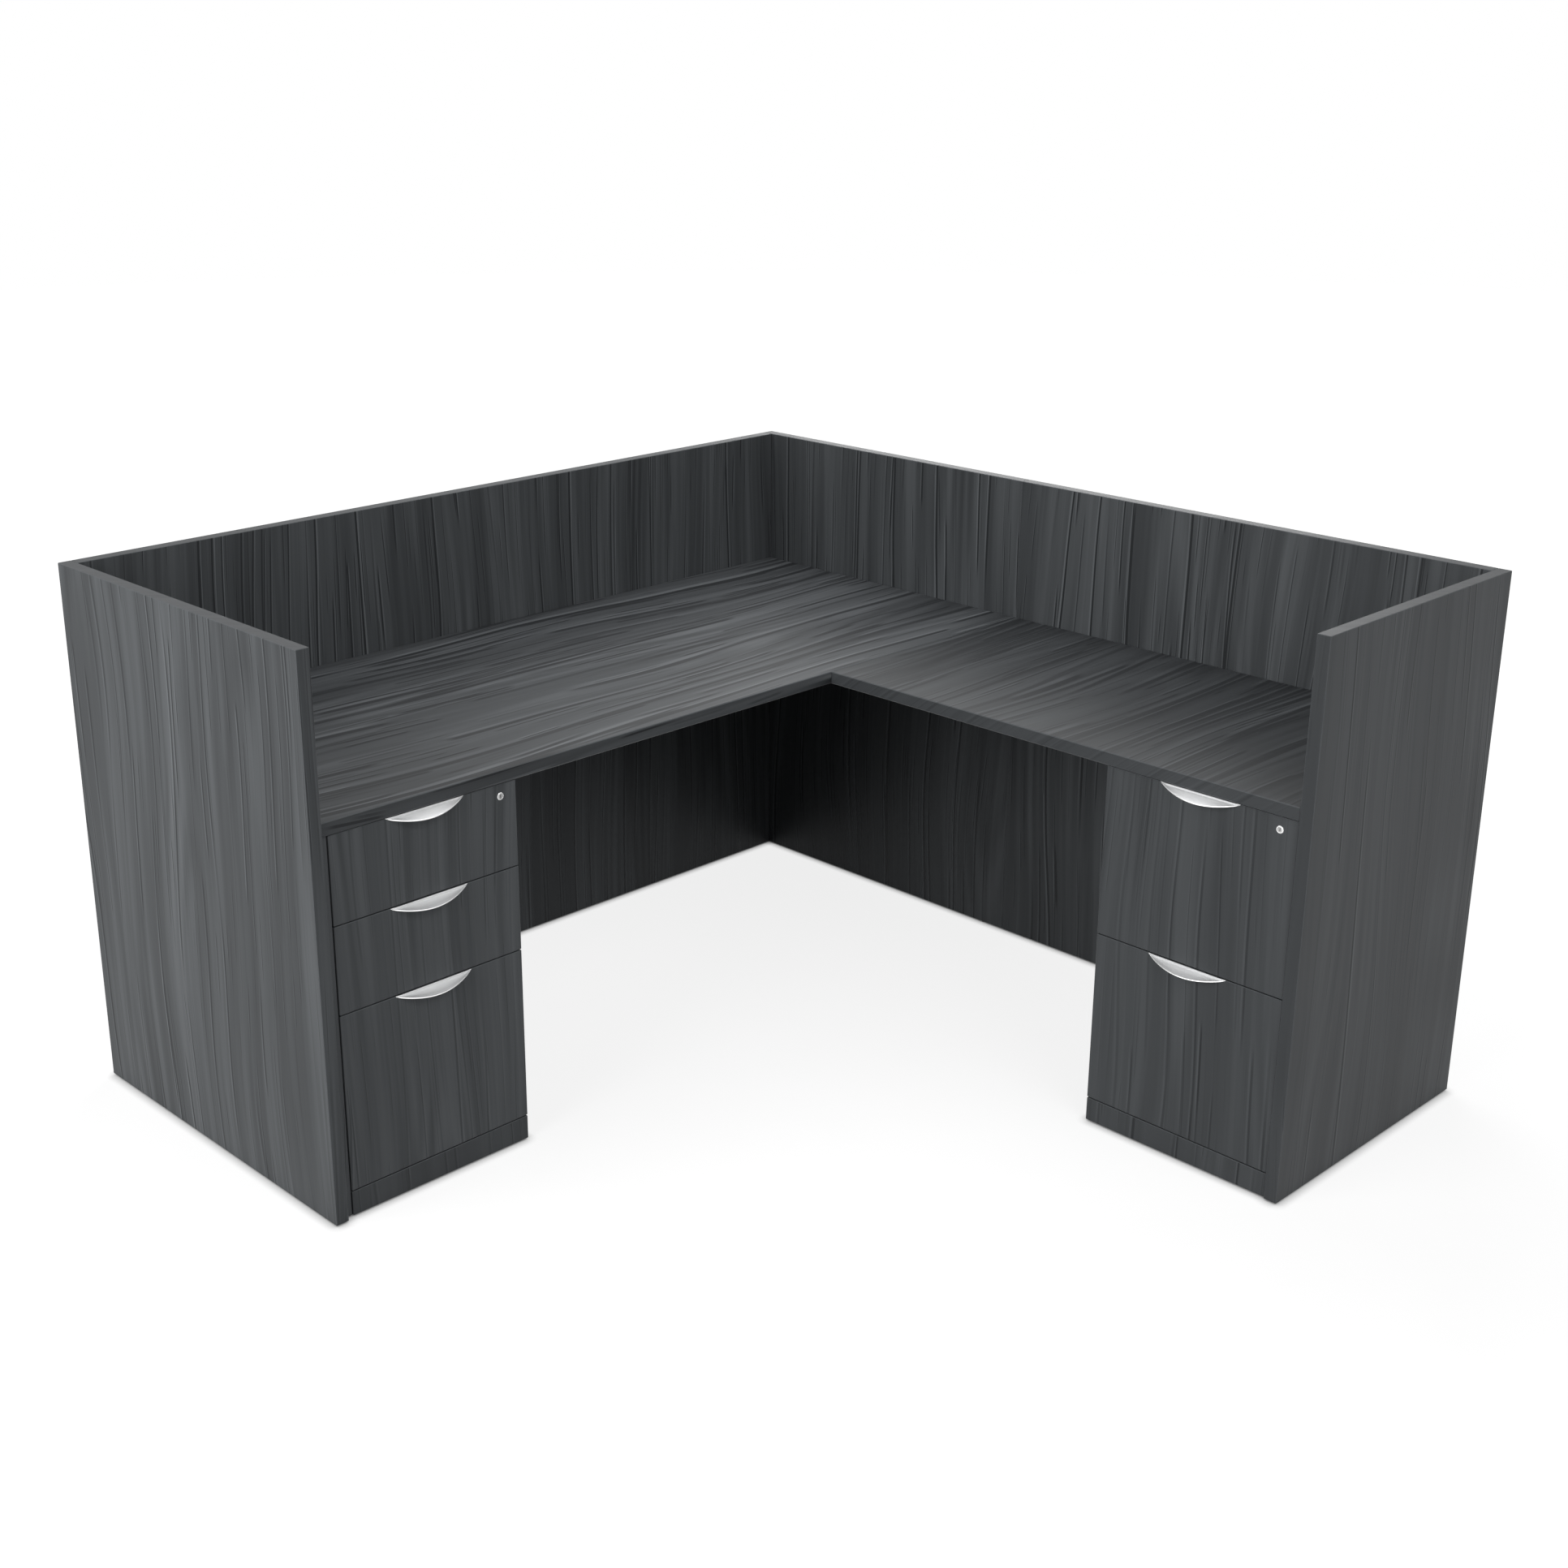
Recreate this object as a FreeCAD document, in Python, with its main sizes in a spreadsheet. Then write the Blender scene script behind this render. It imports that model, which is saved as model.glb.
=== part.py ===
import FreeCAD, Part
import os
import re

import Sketcher

# A corner office workstation: raised panels round two sides, a main worksurface with a return
# worksurface at the same height, and a drawer pedestal under each free end.
# The frame has +X to the right, +Y to the rear and +Z up, in millimetres, with its origin on the
# floor at the middle of the overall length and depth.
# The left pedestal faces -Y and the right pedestal faces -X.

# Driving dimensions
SIZES = {
    # Shell panels
    "overall_width": 1855,
    "overall_depth": 1886,
    "overall_height": 1052,
    "panel_thickness": 26,
    "panel_edge_chamfer": 1,
    # Worksurfaces
    "surface_height": 749,
    "surface_thickness": 25,
    "main_surface_setback": 5,
    "return_surface_setback": 1,
    "surface_edge_chamfer": 1.5,
    # Steel under the worksurfaces
    "bracket_leg": 50,
    "bracket_width": 40,
    "bracket_steel": 3,
    "plate_length": 160,
    "plate_width": 60,
    "plate_steel": 3,
    # Levelling glides
    "glide_height": 3,
    "glide_radius": 9,
    "glide_stem_radius": 4,
    "glide_stem_length": 22,
    "glide_hole_clearance": 0.3,
    "glide_inset": 60,
    # Pedestal cabinets
    "pedestal_width": 394,
    "pedestal_depth": 559,
    "pedestal_board": 18,
    "pedestal_back": 12,
    "left_pedestal_gap": 16,
    "right_pedestal_gap": 2,
    "left_pedestal_rear_gap": 193,
    "right_pedestal_rear_gap": 22,
    "kick_height": 47,
    "top_rail_thickness": 15,
    "top_rail_depth": 60,
    "filler_recess": 3,
    "filler_depth": 40,
    "filler_clearance": 1,
    # Drawer fronts
    "front_thickness": 19,
    "front_setback": 4,
    "front_gap": 2,
    "file_front_height": 338.5,
    "front_edge_chamfer": 1,
    # Drawer boxes
    "drawer_side": 12,
    "drawer_bottom": 4,
    "groove_depth": 5,
    "groove_height": 12,
    "groove_clearance": 0.3,
    "drawer_lift": 12,
    "box_headroom": 45,
    "file_headroom": 75,
    "drawer_rear_clearance": 28,
    "hanging_lip_thickness": 4,
    "hanging_lip_height": 12,
    # Telescopic runners
    "runner_space": 12.7,
    "runner_height": 45,
    "runner_flange": 9,
    "runner_lip": 3,
    "runner_steel": 1.2,
    "runner_clearance": 0.3,
    "runner_arm_relief": 1.8,
    "runner_end_inset": 4,
    # Crescent pulls
    "pull_width": 164,
    "pull_projection": 21,
    "pull_drop": 14.5,
    "pull_crown_radius": 60,
    "pull_thickness": 2.5,
    "pull_flange_height": 14,
    "pull_flange_thickness": 2,
    "pull_cutter_margin": 20,
    # Locks
    "lock_inset": 17,
    "lock_rail_clearance": 4,
    "lock_collar_radius": 7,
    "lock_collar_thickness": 1.5,
    "lock_collar_chamfer": 0.6,
    "lock_barrel_radius": 6,
    "lock_barrel_length": 30,
    "lock_bore_clearance": 0.2,
    "lock_plug_radius": 4.2,
    "lock_plug_clearance": 0.3,
    "lock_plug_proud": 0.8,
    "keyway_width": 1.4,
    "keyway_height": 5.5,
    "keyway_depth": 12,
    "cam_gap": 0.5,
    "cam_thickness": 2.5,
    "cam_width": 8,
    "cam_length": 20,
    "cam_slot_clearance": 1.5,
}

# Positions that follow from the driving dimensions, as expressions
PLACES = {
    # Shell, in the frame of the whole, deep enough for the pedestals
    "pedestal_reach": "front_setback + pedestal_depth",
    "end_panel_depth": "main_surface_setback + pedestal_reach + left_pedestal_rear_gap"
                       " + panel_thickness",
    "return_end_depth": "return_surface_setback + pedestal_reach + right_pedestal_rear_gap"
                        " + panel_thickness",
    "left_face": "-overall_width / 2",
    "right_face": "overall_width / 2",
    "rear_face": "overall_depth / 2",
    "front_face": "-overall_depth / 2",
    "left_inner": "left_face + panel_thickness",
    "right_inner": "right_face - panel_thickness",
    "rear_inner": "rear_face - panel_thickness",
    "front_inner": "front_face + panel_thickness",
    "end_panel_front": "rear_face - end_panel_depth",
    "return_end_front": "right_face - return_end_depth",
    "panel_length_up": "overall_height - glide_height",
    "surface_underside": "surface_height - surface_thickness",
    "main_surface_front": "end_panel_front + main_surface_setback",
    "return_surface_front": "return_end_front + return_surface_setback",
    "glide_hole_radius": "glide_stem_radius + glide_hole_clearance",
    "glide_hole_depth": "glide_stem_length + glide_hole_clearance",
    # Pedestal, in its own frame: x to its right, y to its rear, from its front lower left corner
    "left_pedestal_x": "left_inner + left_pedestal_gap",
    "left_pedestal_y": "main_surface_front + front_setback",
    "right_pedestal_x": "return_surface_front + front_setback",
    "right_pedestal_y": "front_inner + right_pedestal_gap + pedestal_width",
    "carcass_right": "pedestal_width - pedestal_board",
    "carcass_width": "pedestal_width - 2 * pedestal_board",
    "carcass_rear": "pedestal_depth - pedestal_back",
    "kick_top": "glide_height + kick_height",
    "top_rail_underside": "surface_underside - top_rail_thickness",
    # Drawer fronts, from the floor up
    "lower_front_bottom": "kick_top + front_gap",
    "upper_front_bottom": "lower_front_bottom + file_front_height + front_gap",
    "upper_front_top": "surface_underside - front_gap",
    "upper_file_height": "upper_front_top - upper_front_bottom",
    "box_front_height": "(upper_file_height - front_gap) / 2",
    "upper_box_bottom": "upper_front_bottom + box_front_height + front_gap",
    # Drawer boxes
    "drawer_left": "pedestal_board + runner_space",
    "drawer_right": "pedestal_width - drawer_left",
    "drawer_inner_width": "drawer_right - drawer_left - 2 * drawer_side",
    "drawer_length": "carcass_rear - front_thickness - drawer_rear_clearance",
    "groove_top": "groove_height + drawer_bottom + groove_clearance",
    # Runners, measured from the cabinet wall towards the drawer and from mid height
    "cabinet_half": "runner_height / 2",
    "middle_half": "cabinet_half - runner_steel - runner_clearance",
    "inner_half": "middle_half - runner_steel - runner_clearance",
    "middle_web": "runner_steel + runner_clearance",
    "middle_edge": "runner_flange - runner_steel - runner_clearance",
    "inner_web": "middle_web + runner_steel + runner_clearance",
    "inner_arm": "middle_half - runner_lip - runner_arm_relief",
    "runner_front": "front_thickness + runner_end_inset",
    "runner_length": "drawer_length - 2 * runner_end_inset",
    # Pulls
    "pull_half": "pull_width / 2",
    "pull_arc_radius": "(pull_half ^ 2 + pull_projection ^ 2) / (2 * pull_projection)",
    "flange_arc_radius": "(pull_half ^ 2 + pull_flange_height ^ 2) / (2 * pull_flange_height)",
    # Locks
    "lock_x": "carcass_right - lock_inset",
    "lock_z": "top_rail_underside - lock_rail_clearance - lock_barrel_radius",
    "cam_front": "lock_barrel_length + cam_gap",
    "cam_half": "cam_width / 2",
}

doc = FreeCAD.newDocument("workstation")
sheet = doc.addObject("Spreadsheet::Sheet", "Sizes")
nodes = {}


def fill_sheet():
    """Write each driving dimension into its own cell, with its name as the alias."""
    for row, (name, size) in enumerate(SIZES.items(), start=1):
        sheet.set(f"A{row}", name)
        sheet.set(f"B{row}", str(size))
        sheet.setAlias(f"B{row}", name)
    doc.recompute()


def bound(text):
    """Turn a text of sizes and places into an expression on the sheet's cells."""
    def spell(match):
        word = match.group()
        if word in SIZES:
            return f"Sizes.{word}"
        if word in PLACES:
            return f"({bound(PLACES[word])})"
        return word
    return re.sub(r"[a-z_]+", spell, text)


def value(text):
    """Give the present value of a text of sizes and places."""
    return float(sheet.evalExpression(bound(text)))


# Sketches

def new_body(label):
    """Start a solid that carries its own sketches and features."""
    body = doc.addObject("PartDesign::Body", label)
    body.Label = label
    return body


def sketch_on(body, role):
    """Attach a new sketch to one of the body's own origin planes."""
    sketch = body.newObject("Sketcher::SketchObject", f"{body.Name}_sketch")
    plane = [item for item in body.Origin.OriginFeatures if item.Role == role][0]
    sketch.AttachmentSupport = (plane, [""])
    sketch.MapMode = "FlatFace"
    return sketch


def hold(sketch, item, point, axis, text):
    """Hold one point of a sketch at a bound distance from the sketch's origin."""
    distance = value(text)
    if distance == 0:
        line = -2 if axis == "X" else -1
        sketch.addConstraint(Sketcher.Constraint("PointOnObject", item, point, line))
        return
    if distance > 0:
        ends = (-1, 1, item, point)
        expression = bound(text)
    else:
        ends = (item, point, -1, 1)
        expression = f"-({bound(text)})"
    index = sketch.addConstraint(Sketcher.Constraint(f"Distance{axis}", *ends, abs(distance)))
    sketch.setExpression(f"Constraints[{index}]", expression)


def polygon(sketch, points):
    """Draw a closed outline of straight lines through points given as bound texts."""
    places = [FreeCAD.Vector(value(x), value(y), 0) for x, y in points]
    following = places[1:] + places[:1]
    lines = [sketch.addGeometry(Part.LineSegment(a, b), False) for a, b in zip(places, following)]
    for line, next_line in zip(lines, lines[1:] + lines[:1]):
        sketch.addConstraint(Sketcher.Constraint("Coincident", line, 2, next_line, 1))
    for line, (x, y) in zip(lines, points):
        hold(sketch, line, 1, "X", x)
        hold(sketch, line, 1, "Y", y)


def rectangle(sketch, left, low, right, high):
    """Draw a rectangle between two corners given as bound texts."""
    polygon(sketch, [(left, low), (right, low), (right, high), (left, high)])


def circle(sketch, x, y, radius):
    """Draw a circle whose centre and radius are bound texts."""
    centre = FreeCAD.Vector(value(x), value(y), 0)
    item = sketch.addGeometry(Part.Circle(centre, FreeCAD.Vector(0, 0, 1), value(radius)), False)
    hold(sketch, item, 3, "X", x)
    hold(sketch, item, 3, "Y", y)
    index = sketch.addConstraint(Sketcher.Constraint("Radius", item, value(radius)))
    sketch.setExpression(f"Constraints[{index}]", bound(radius))


def crescent(sketch, half, sagitta, radius, rest):
    """Draw an arc from (-half, 0) to (half, 0) that dips by its sagitta, closed through rest."""
    left = FreeCAD.Vector(-value(half), 0, 0)
    right = FreeCAD.Vector(value(half), 0, 0)
    low = FreeCAD.Vector(0, -value(sagitta), 0)
    arc = sketch.addGeometry(Part.Arc(left, low, right), False)
    start = 1 if sketch.getPoint(arc, 1).x < 0 else 2
    end = 3 - start
    hold(sketch, arc, start, "X", f"-{half}")
    hold(sketch, arc, start, "Y", "0")
    hold(sketch, arc, end, "X", half)
    hold(sketch, arc, end, "Y", "0")
    index = sketch.addConstraint(Sketcher.Constraint("Radius", arc, value(radius)))
    sketch.setExpression(f"Constraints[{index}]", bound(radius))
    places = [right] + [FreeCAD.Vector(value(x), value(y), 0) for x, y in rest] + [left]
    lines = [sketch.addGeometry(Part.LineSegment(a, b), False) for a, b in zip(places, places[1:])]
    sketch.addConstraint(Sketcher.Constraint("Coincident", arc, end, lines[0], 1))
    sketch.addConstraint(Sketcher.Constraint("Coincident", lines[-1], 2, arc, start))
    for line, next_line, (x, y) in zip(lines, lines[1:], rest):
        sketch.addConstraint(Sketcher.Constraint("Coincident", line, 2, next_line, 1))
        hold(sketch, next_line, 1, "X", x)
        hold(sketch, next_line, 1, "Y", y)


# Features

def pad(body, sketch, length, reverse=False, symmetric=False):
    """Raise a sketch into a solid by a bound length."""
    feature = body.newObject("PartDesign::Pad", f"{body.Name}_pad")
    feature.Profile = sketch
    feature.Reversed = reverse
    feature.SideType = "Symmetric" if symmetric else "One side"
    feature.setExpression("Length", bound(length))
    return feature


def pocket(body, sketch, depth=None, reverse=False):
    """Cut a sketch into a solid by a bound depth, or right through both ways without one."""
    feature = body.newObject("PartDesign::Pocket", f"{body.Name}_pocket")
    feature.Profile = sketch
    feature.Reversed = reverse
    if depth is None:
        feature.SideType = "Symmetric"
        feature.Type = "ThroughAll"
    else:
        feature.setExpression("Length", bound(depth))
    return feature


def revolve(body, sketch):
    """Turn a sketch once round its own upright axis."""
    feature = body.newObject("PartDesign::Revolution", f"{body.Name}_turning")
    feature.Profile = sketch
    feature.ReferenceAxis = (sketch, ["V_Axis"])
    feature.Angle = 360
    return feature


def break_edges(body, feature, size):
    """Chamfer every edge of a feature by a bound size."""
    chamfer = body.newObject("PartDesign::Chamfer", f"{body.Name}_edges")
    chamfer.Base = (feature, [""])
    chamfer.UseAllEdges = True
    chamfer.setExpression("Size", bound(size))


# Placing

def place(item, x, y, z, angle=0):
    """Stand an object at a bound point of the whole, turned about the upright axis."""
    upright = FreeCAD.Vector(0, 0, 1)
    item.Placement = FreeCAD.Placement(FreeCAD.Vector(), FreeCAD.Rotation(upright, angle))
    for axis, text in zip("xyz", (x, y, z)):
        item.setExpression(f"Placement.Base.{axis}", bound(text))


def place_in_left(item, x, y, z):
    """Stand an object at a bound point of the left pedestal, which faces -Y."""
    place(item, f"left_pedestal_x + ({x})", f"left_pedestal_y + ({y})", z)


def place_in_right(item, x, y, z):
    """Stand an object at a bound point of the right pedestal, which faces -X."""
    place(item, f"right_pedestal_x + ({y})", f"right_pedestal_y - ({x})", z, angle=-90)


def keep(label, item):
    """Keep an object as a named sub-part."""
    item.Label = label
    nodes[label] = item


def keep_group(label, members):
    """Keep several separate solids as one named sub-part."""
    group = doc.addObject("Part::Compound", f"{label}_group")
    group.Links = members
    keep(label, group)


def board(label, length, depth, height):
    """Make a plain board with its lower front left corner at its own origin."""
    body = new_body(label)
    sketch = sketch_on(body, "XY_Plane")
    rectangle(sketch, "0", "0", length, depth)
    return body, pad(body, sketch, height)


def drill_for_glides(body, points):
    """Drill a blind hole for a glide's stem up into a board's lower edge at each point."""
    sketch = sketch_on(body, "XY_Plane")
    for x, y in points:
        circle(sketch, x, y, "glide_hole_radius")
    pocket(body, sketch, "glide_hole_depth", reverse=True)


# Shell

def shell_panel(label, length, depth, x, y):
    """Make an upright panel with broken edges and two glides under its longer direction."""
    body, blank = board(label, length, depth, "panel_length_up")
    break_edges(body, blank, "panel_edge_chamfer")
    if value(length) > value(depth):
        points = [("glide_inset", f"({depth}) / 2"), (f"{length} - glide_inset", f"({depth}) / 2")]
    else:
        points = [(f"({length}) / 2", "glide_inset"), (f"({length}) / 2", f"{depth} - glide_inset")]
    drill_for_glides(body, points)
    place(body, x, y, "glide_height")
    keep(label, body)
    return [(f"{x} + {px}", f"{y} + {py}") for px, py in points]


def make_panels():
    """Make the five panels and give the points where their glides stand."""
    between = "right_inner - left_inner"
    return (
        shell_panel("left_end_panel", "panel_thickness", "end_panel_depth",
                    "left_face", "end_panel_front")
        + shell_panel("main_back_panel", between, "panel_thickness", "left_inner", "rear_inner")
        + shell_panel("right_end_panel", "panel_thickness", "end_panel_depth",
                      "right_inner", "end_panel_front")
        + shell_panel("return_back_panel", "panel_thickness", "end_panel_front - front_inner",
                      "right_inner", "front_inner")
        + shell_panel("return_end_panel", "return_end_depth", "panel_thickness",
                      "return_end_front", "front_face")
    )


def make_worksurfaces():
    """Make the main worksurface between the end panels and the return worksurface before it."""
    tops = {
        "main_worksurface": ("left_inner", "main_surface_front", "right_inner", "rear_inner"),
        "return_worksurface": ("return_surface_front", "front_inner", "right_inner",
                               "main_surface_front"),
    }
    for label, (left, front, right, rear) in tops.items():
        body, blank = board(label, f"{right} - {left}", f"{rear} - {front}", "surface_thickness")
        break_edges(body, blank, "surface_edge_chamfer")
        place(body, left, front, "surface_underside")
        keep(label, body)


def make_joining_plates():
    """Make the flat plates that tie the two worksurfaces together from below."""
    span = "right_inner - return_surface_front"
    plates = []
    for share in ("1 / 4", "3 / 4"):
        body, _ = board("joining_plate", "plate_length", "plate_width", "plate_steel")
        place(body, f"return_surface_front + ({span}) * {share} - plate_length / 2",
              "main_surface_front - plate_width / 2", "surface_underside - plate_steel")
        plates.append(body)
    keep_group("worksurface_joining_plates", plates)


def bracket(x, y, angle):
    """Make an L-bracket with its back on a wall and its upper leg under a worksurface."""
    body = new_body("bracket")
    sketch = sketch_on(body, "YZ_Plane")
    polygon(sketch, [("0", "0"), ("-bracket_leg", "0"), ("-bracket_leg", "-bracket_steel"),
                     ("-bracket_steel", "-bracket_steel"), ("-bracket_steel", "-bracket_leg"),
                     ("0", "-bracket_leg")])
    pad(body, sketch, "bracket_width", symmetric=True)
    place(body, x, y, "surface_underside", angle)
    return body


def make_brackets():
    """Make the brackets along the walls, clear of both pedestals."""
    behind_left = "left_pedestal_y + pedestal_depth"
    beside_right = "right_pedestal_y"
    main_span = "rear_inner - main_surface_front"
    return_span = f"main_surface_front - ({beside_right})"
    walls = [(f"left_inner + (right_inner - left_inner) * {share}", "rear_inner", 0)
             for share in ("1 / 6", "1 / 2", "5 / 6")]
    walls.append(("left_inner", f"({behind_left} + rear_inner) / 2", 90))
    walls += [("right_inner", f"main_surface_front + ({main_span}) * {share}", -90)
              for share in ("1 / 4", "3 / 4")]
    walls += [("right_inner", f"{beside_right} + ({return_span}) * {share}", -90)
              for share in ("1 / 4", "3 / 4")]
    keep_group("worksurface_brackets", [bracket(*wall) for wall in walls])


def glide(x, y):
    """Make a levelling glide: a hexagonal foot on the floor under a round stem in its panel."""
    body = new_body("glide")
    foot = sketch_on(body, "XY_Plane")
    across = "glide_radius / 2"
    flat = "glide_radius * sqrt(3) / 2"
    polygon(foot, [("glide_radius", "0"), (across, flat), (f"-{across}", flat),
                   ("-glide_radius", "0"), (f"-{across}", f"-{flat}"), (across, f"-{flat}")])
    pad(body, foot, "glide_height")
    stem = sketch_on(body, "XY_Plane")
    circle(stem, "0", "0", "glide_stem_radius")
    pad(body, stem, "glide_height + glide_stem_length")
    place(body, x, y, "0")
    return body


# Pedestal cabinets

def pedestal_side(label, x, stand):
    """Make one side of a pedestal, on two glides, and give the glides' points in the pedestal."""
    body, _ = board(label, "pedestal_board", "pedestal_depth - front_thickness",
                    "surface_underside - glide_height")
    points = [("pedestal_board / 2", "glide_inset"),
              ("pedestal_board / 2", "pedestal_depth - front_thickness - glide_inset")]
    drill_for_glides(body, points)
    stand(body, x, "front_thickness", "glide_height")
    keep(label, body)
    return [(f"{x} + {px}", f"front_thickness + {py}") for px, py in points]


def front_top_rail(stand):
    """Make the front top rail, with the slot that the lock's cam rises into."""
    body, _ = board("front_rail", "carcass_width", "top_rail_depth", "top_rail_thickness")
    sketch = sketch_on(body, "XY_Plane")
    lock_in_rail = "lock_x - pedestal_board"
    cam_in_rail = "cam_front - front_thickness"
    rectangle(sketch, f"{lock_in_rail} - cam_length", f"{cam_in_rail} - cam_slot_clearance",
              f"{lock_in_rail} + cam_half + cam_slot_clearance",
              f"{cam_in_rail} + cam_thickness + cam_slot_clearance")
    pocket(body, sketch)
    stand(body, "pedestal_board", "front_thickness", "top_rail_underside")
    return body


def rear_top_rail(stand):
    """Make the plain rear top rail."""
    body, _ = board("rear_rail", "carcass_width", "top_rail_depth", "top_rail_thickness")
    stand(body, "pedestal_board", "carcass_rear - top_rail_depth", "top_rail_underside")
    return body


def make_cabinet(side, stand):
    """Make the boards of one pedestal and give the points where its glides stand."""
    name = f"{side}_pedestal"
    points = pedestal_side(f"{name}_left_side", "0", stand)
    points += pedestal_side(f"{name}_right_side", "carcass_right", stand)
    boards = {
        "back": (("carcass_width", "pedestal_back", "surface_underside - glide_height"),
                 ("pedestal_board", "carcass_rear", "glide_height")),
        "bottom": (("carcass_width", "carcass_rear - front_thickness", "pedestal_board"),
                   ("pedestal_board", "front_thickness", "kick_top - pedestal_board")),
        "kick_rail": (("pedestal_width", "front_thickness", "kick_height"),
                      ("0", "0", "glide_height")),
    }
    for piece, (size, corner) in boards.items():
        body, blank = board(f"{name}_{piece}", *size)
        if piece == "kick_rail":
            break_edges(body, blank, "front_edge_chamfer")
        stand(body, *corner)
        keep(f"{name}_{piece}", body)
    keep_group(f"{name}_top_rails", [front_top_rail(stand), rear_top_rail(stand)])
    return points


def make_filler_strip():
    """Make the strip on the left end panel that closes the view beside the left pedestal."""
    body, blank = board("left_pedestal_filler_strip", "left_pedestal_gap - filler_clearance",
                        "filler_depth", "surface_underside - glide_height")
    break_edges(body, blank, "front_edge_chamfer")
    place_in_left(body, "-left_pedestal_gap", "filler_recess", "glide_height")
    keep("left_pedestal_filler_strip", body)


# Telescopic runners

def channel(web, edge, half):
    """Give the outline of a lipped channel that opens towards the drawer."""
    lower = [(web, f"-{half}"), (edge, f"-{half}"), (edge, f"runner_lip - {half}"),
             (f"{edge} - runner_steel", f"runner_lip - {half}"),
             (f"{edge} - runner_steel", f"runner_steel - {half}"),
             (f"{web} + runner_steel", f"runner_steel - {half}")]
    upper = [(x, f"-({y})") for x, y in reversed(lower)]
    return lower + upper


def hat():
    """Give the outline of the drawer member: two flared arms on a web at the drawer's side."""
    lower = [("runner_space", "-inner_arm"),
             ("inner_web + runner_steel", "-inner_arm"),
             ("inner_web + runner_steel", "-inner_half"),
             ("inner_web", "-inner_half"),
             ("inner_web", "runner_steel - inner_arm"),
             ("runner_space - runner_steel", "runner_steel - inner_arm")]
    upper = [(x, f"-({y})") for x, y in reversed(lower)]
    return lower + upper


def runner_pair(outline, mid_height, stand):
    """Draw one runner outline on both cabinet walls and extend each to the runner's length."""
    walls = ("pedestal_board + ({x})", "carcass_right - ({x})")
    pair = []
    for wall in walls:
        body = new_body("runner")
        sketch = sketch_on(body, "XZ_Plane")
        polygon(sketch, [(wall.format(x=x), y) for x, y in outline])
        pad(body, sketch, "runner_length", reverse=True)
        stand(body, "0", "runner_front", mid_height)
        pair.append(body)
    return pair


# Drawers

def drawer_side(label, outer, inner, height, hangs_files):
    """Extend a drawer side from its section: a groove for the bottom and, for files, a thin lip."""
    outward = "+" if value(outer) > value(inner) else "-"
    groove = f"{inner} {outward} (groove_depth + groove_clearance)"
    section = [(outer, "0"), (inner, "0"), (inner, "groove_height"), (groove, "groove_height"),
               (groove, "groove_top"), (inner, "groove_top"), (inner, height)]
    if hangs_files:
        lip = f"{inner} {outward} hanging_lip_thickness"
        shoulder = f"{height} - hanging_lip_height"
        section += [(lip, height), (lip, shoulder), (outer, shoulder)]
    else:
        section.append((outer, height))
    body = new_body(label)
    sketch = sketch_on(body, "XZ_Plane")
    polygon(sketch, section)
    pad(body, sketch, "drawer_length", reverse=True)
    return body


def drawer_box(name, low, height, hangs_files, stand):
    """Make the two sides, the inner front and the back of a drawer."""
    left = drawer_side("box_left", "drawer_left", "drawer_left + drawer_side", height, hangs_files)
    right = drawer_side("box_right", "drawer_right", "drawer_right - drawer_side", height,
                        hangs_files)
    for side in (left, right):
        stand(side, "0", "front_thickness", low)
    inner_front = new_body("box_front")
    sketch = sketch_on(inner_front, "YZ_Plane")
    groove = "drawer_side - groove_depth - groove_clearance"
    polygon(sketch, [("0", "0"), ("drawer_side", "0"), ("drawer_side", "groove_height"),
                     (groove, "groove_height"), (groove, "groove_top"),
                     ("drawer_side", "groove_top"), ("drawer_side", height), ("0", height)])
    pad(inner_front, sketch, "drawer_inner_width")
    stand(inner_front, "drawer_left + drawer_side", "front_thickness", low)
    back, _ = board("box_back", "drawer_inner_width", "drawer_side", f"{height} - groove_top")
    stand(back, "drawer_left + drawer_side", "front_thickness + drawer_length - drawer_side",
          f"{low} + groove_top")
    keep_group(f"{name}_box", [left, right, inner_front, back])


def drawer_bottom(name, low, stand):
    """Make the thin bottom that lies in the grooves and runs out under the back."""
    body, _ = board(f"{name}_bottom", "drawer_inner_width + 2 * groove_depth",
                    "drawer_length - drawer_side + groove_depth", "drawer_bottom")
    stand(body, "drawer_left + drawer_side - groove_depth",
          "front_thickness + drawer_side - groove_depth", f"{low} + groove_height")
    keep(f"{name}_bottom", body)


def drawer_front(name, bottom, height, lock_bore, stand):
    """Make a drawer front with broken edges and, on a top drawer, the lock's bore."""
    body, blank = board(f"{name}_front", "pedestal_width", "front_thickness", height)
    break_edges(body, blank, "front_edge_chamfer")
    if lock_bore:
        sketch = sketch_on(body, "XZ_Plane")
        circle(sketch, "lock_x", f"lock_z - ({bottom})", "lock_barrel_radius + lock_bore_clearance")
        pocket(body, sketch)
    stand(body, "0", "0", bottom)
    keep(f"{name}_front", body)


def crescent_pull(name, top, stand):
    """Make a crescent pull: a curved visor with pointed ends, and the flange that seats it."""
    body = new_body(f"{name}_pull")
    section = sketch_on(body, "YZ_Plane")
    visor_section(section)
    pad(body, section, "pull_width", symmetric=True)
    outline = sketch_on(body, "XY_Plane")
    wide = "pull_half + pull_cutter_margin"
    deep = "-pull_projection - pull_cutter_margin"
    crescent(outline, "pull_half", "pull_projection", "pull_arc_radius",
             [(wide, "0"), (wide, deep), (f"-({wide})", deep), (f"-({wide})", "0")])
    pocket(body, outline)
    seat = sketch_on(body, "XZ_Plane")
    crescent(seat, "pull_half", "pull_flange_height", "flange_arc_radius", [])
    pad(body, seat, "pull_flange_thickness")
    stand(body, "pedestal_width / 2", "0", top)
    keep(f"{name}_pull", body)


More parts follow.
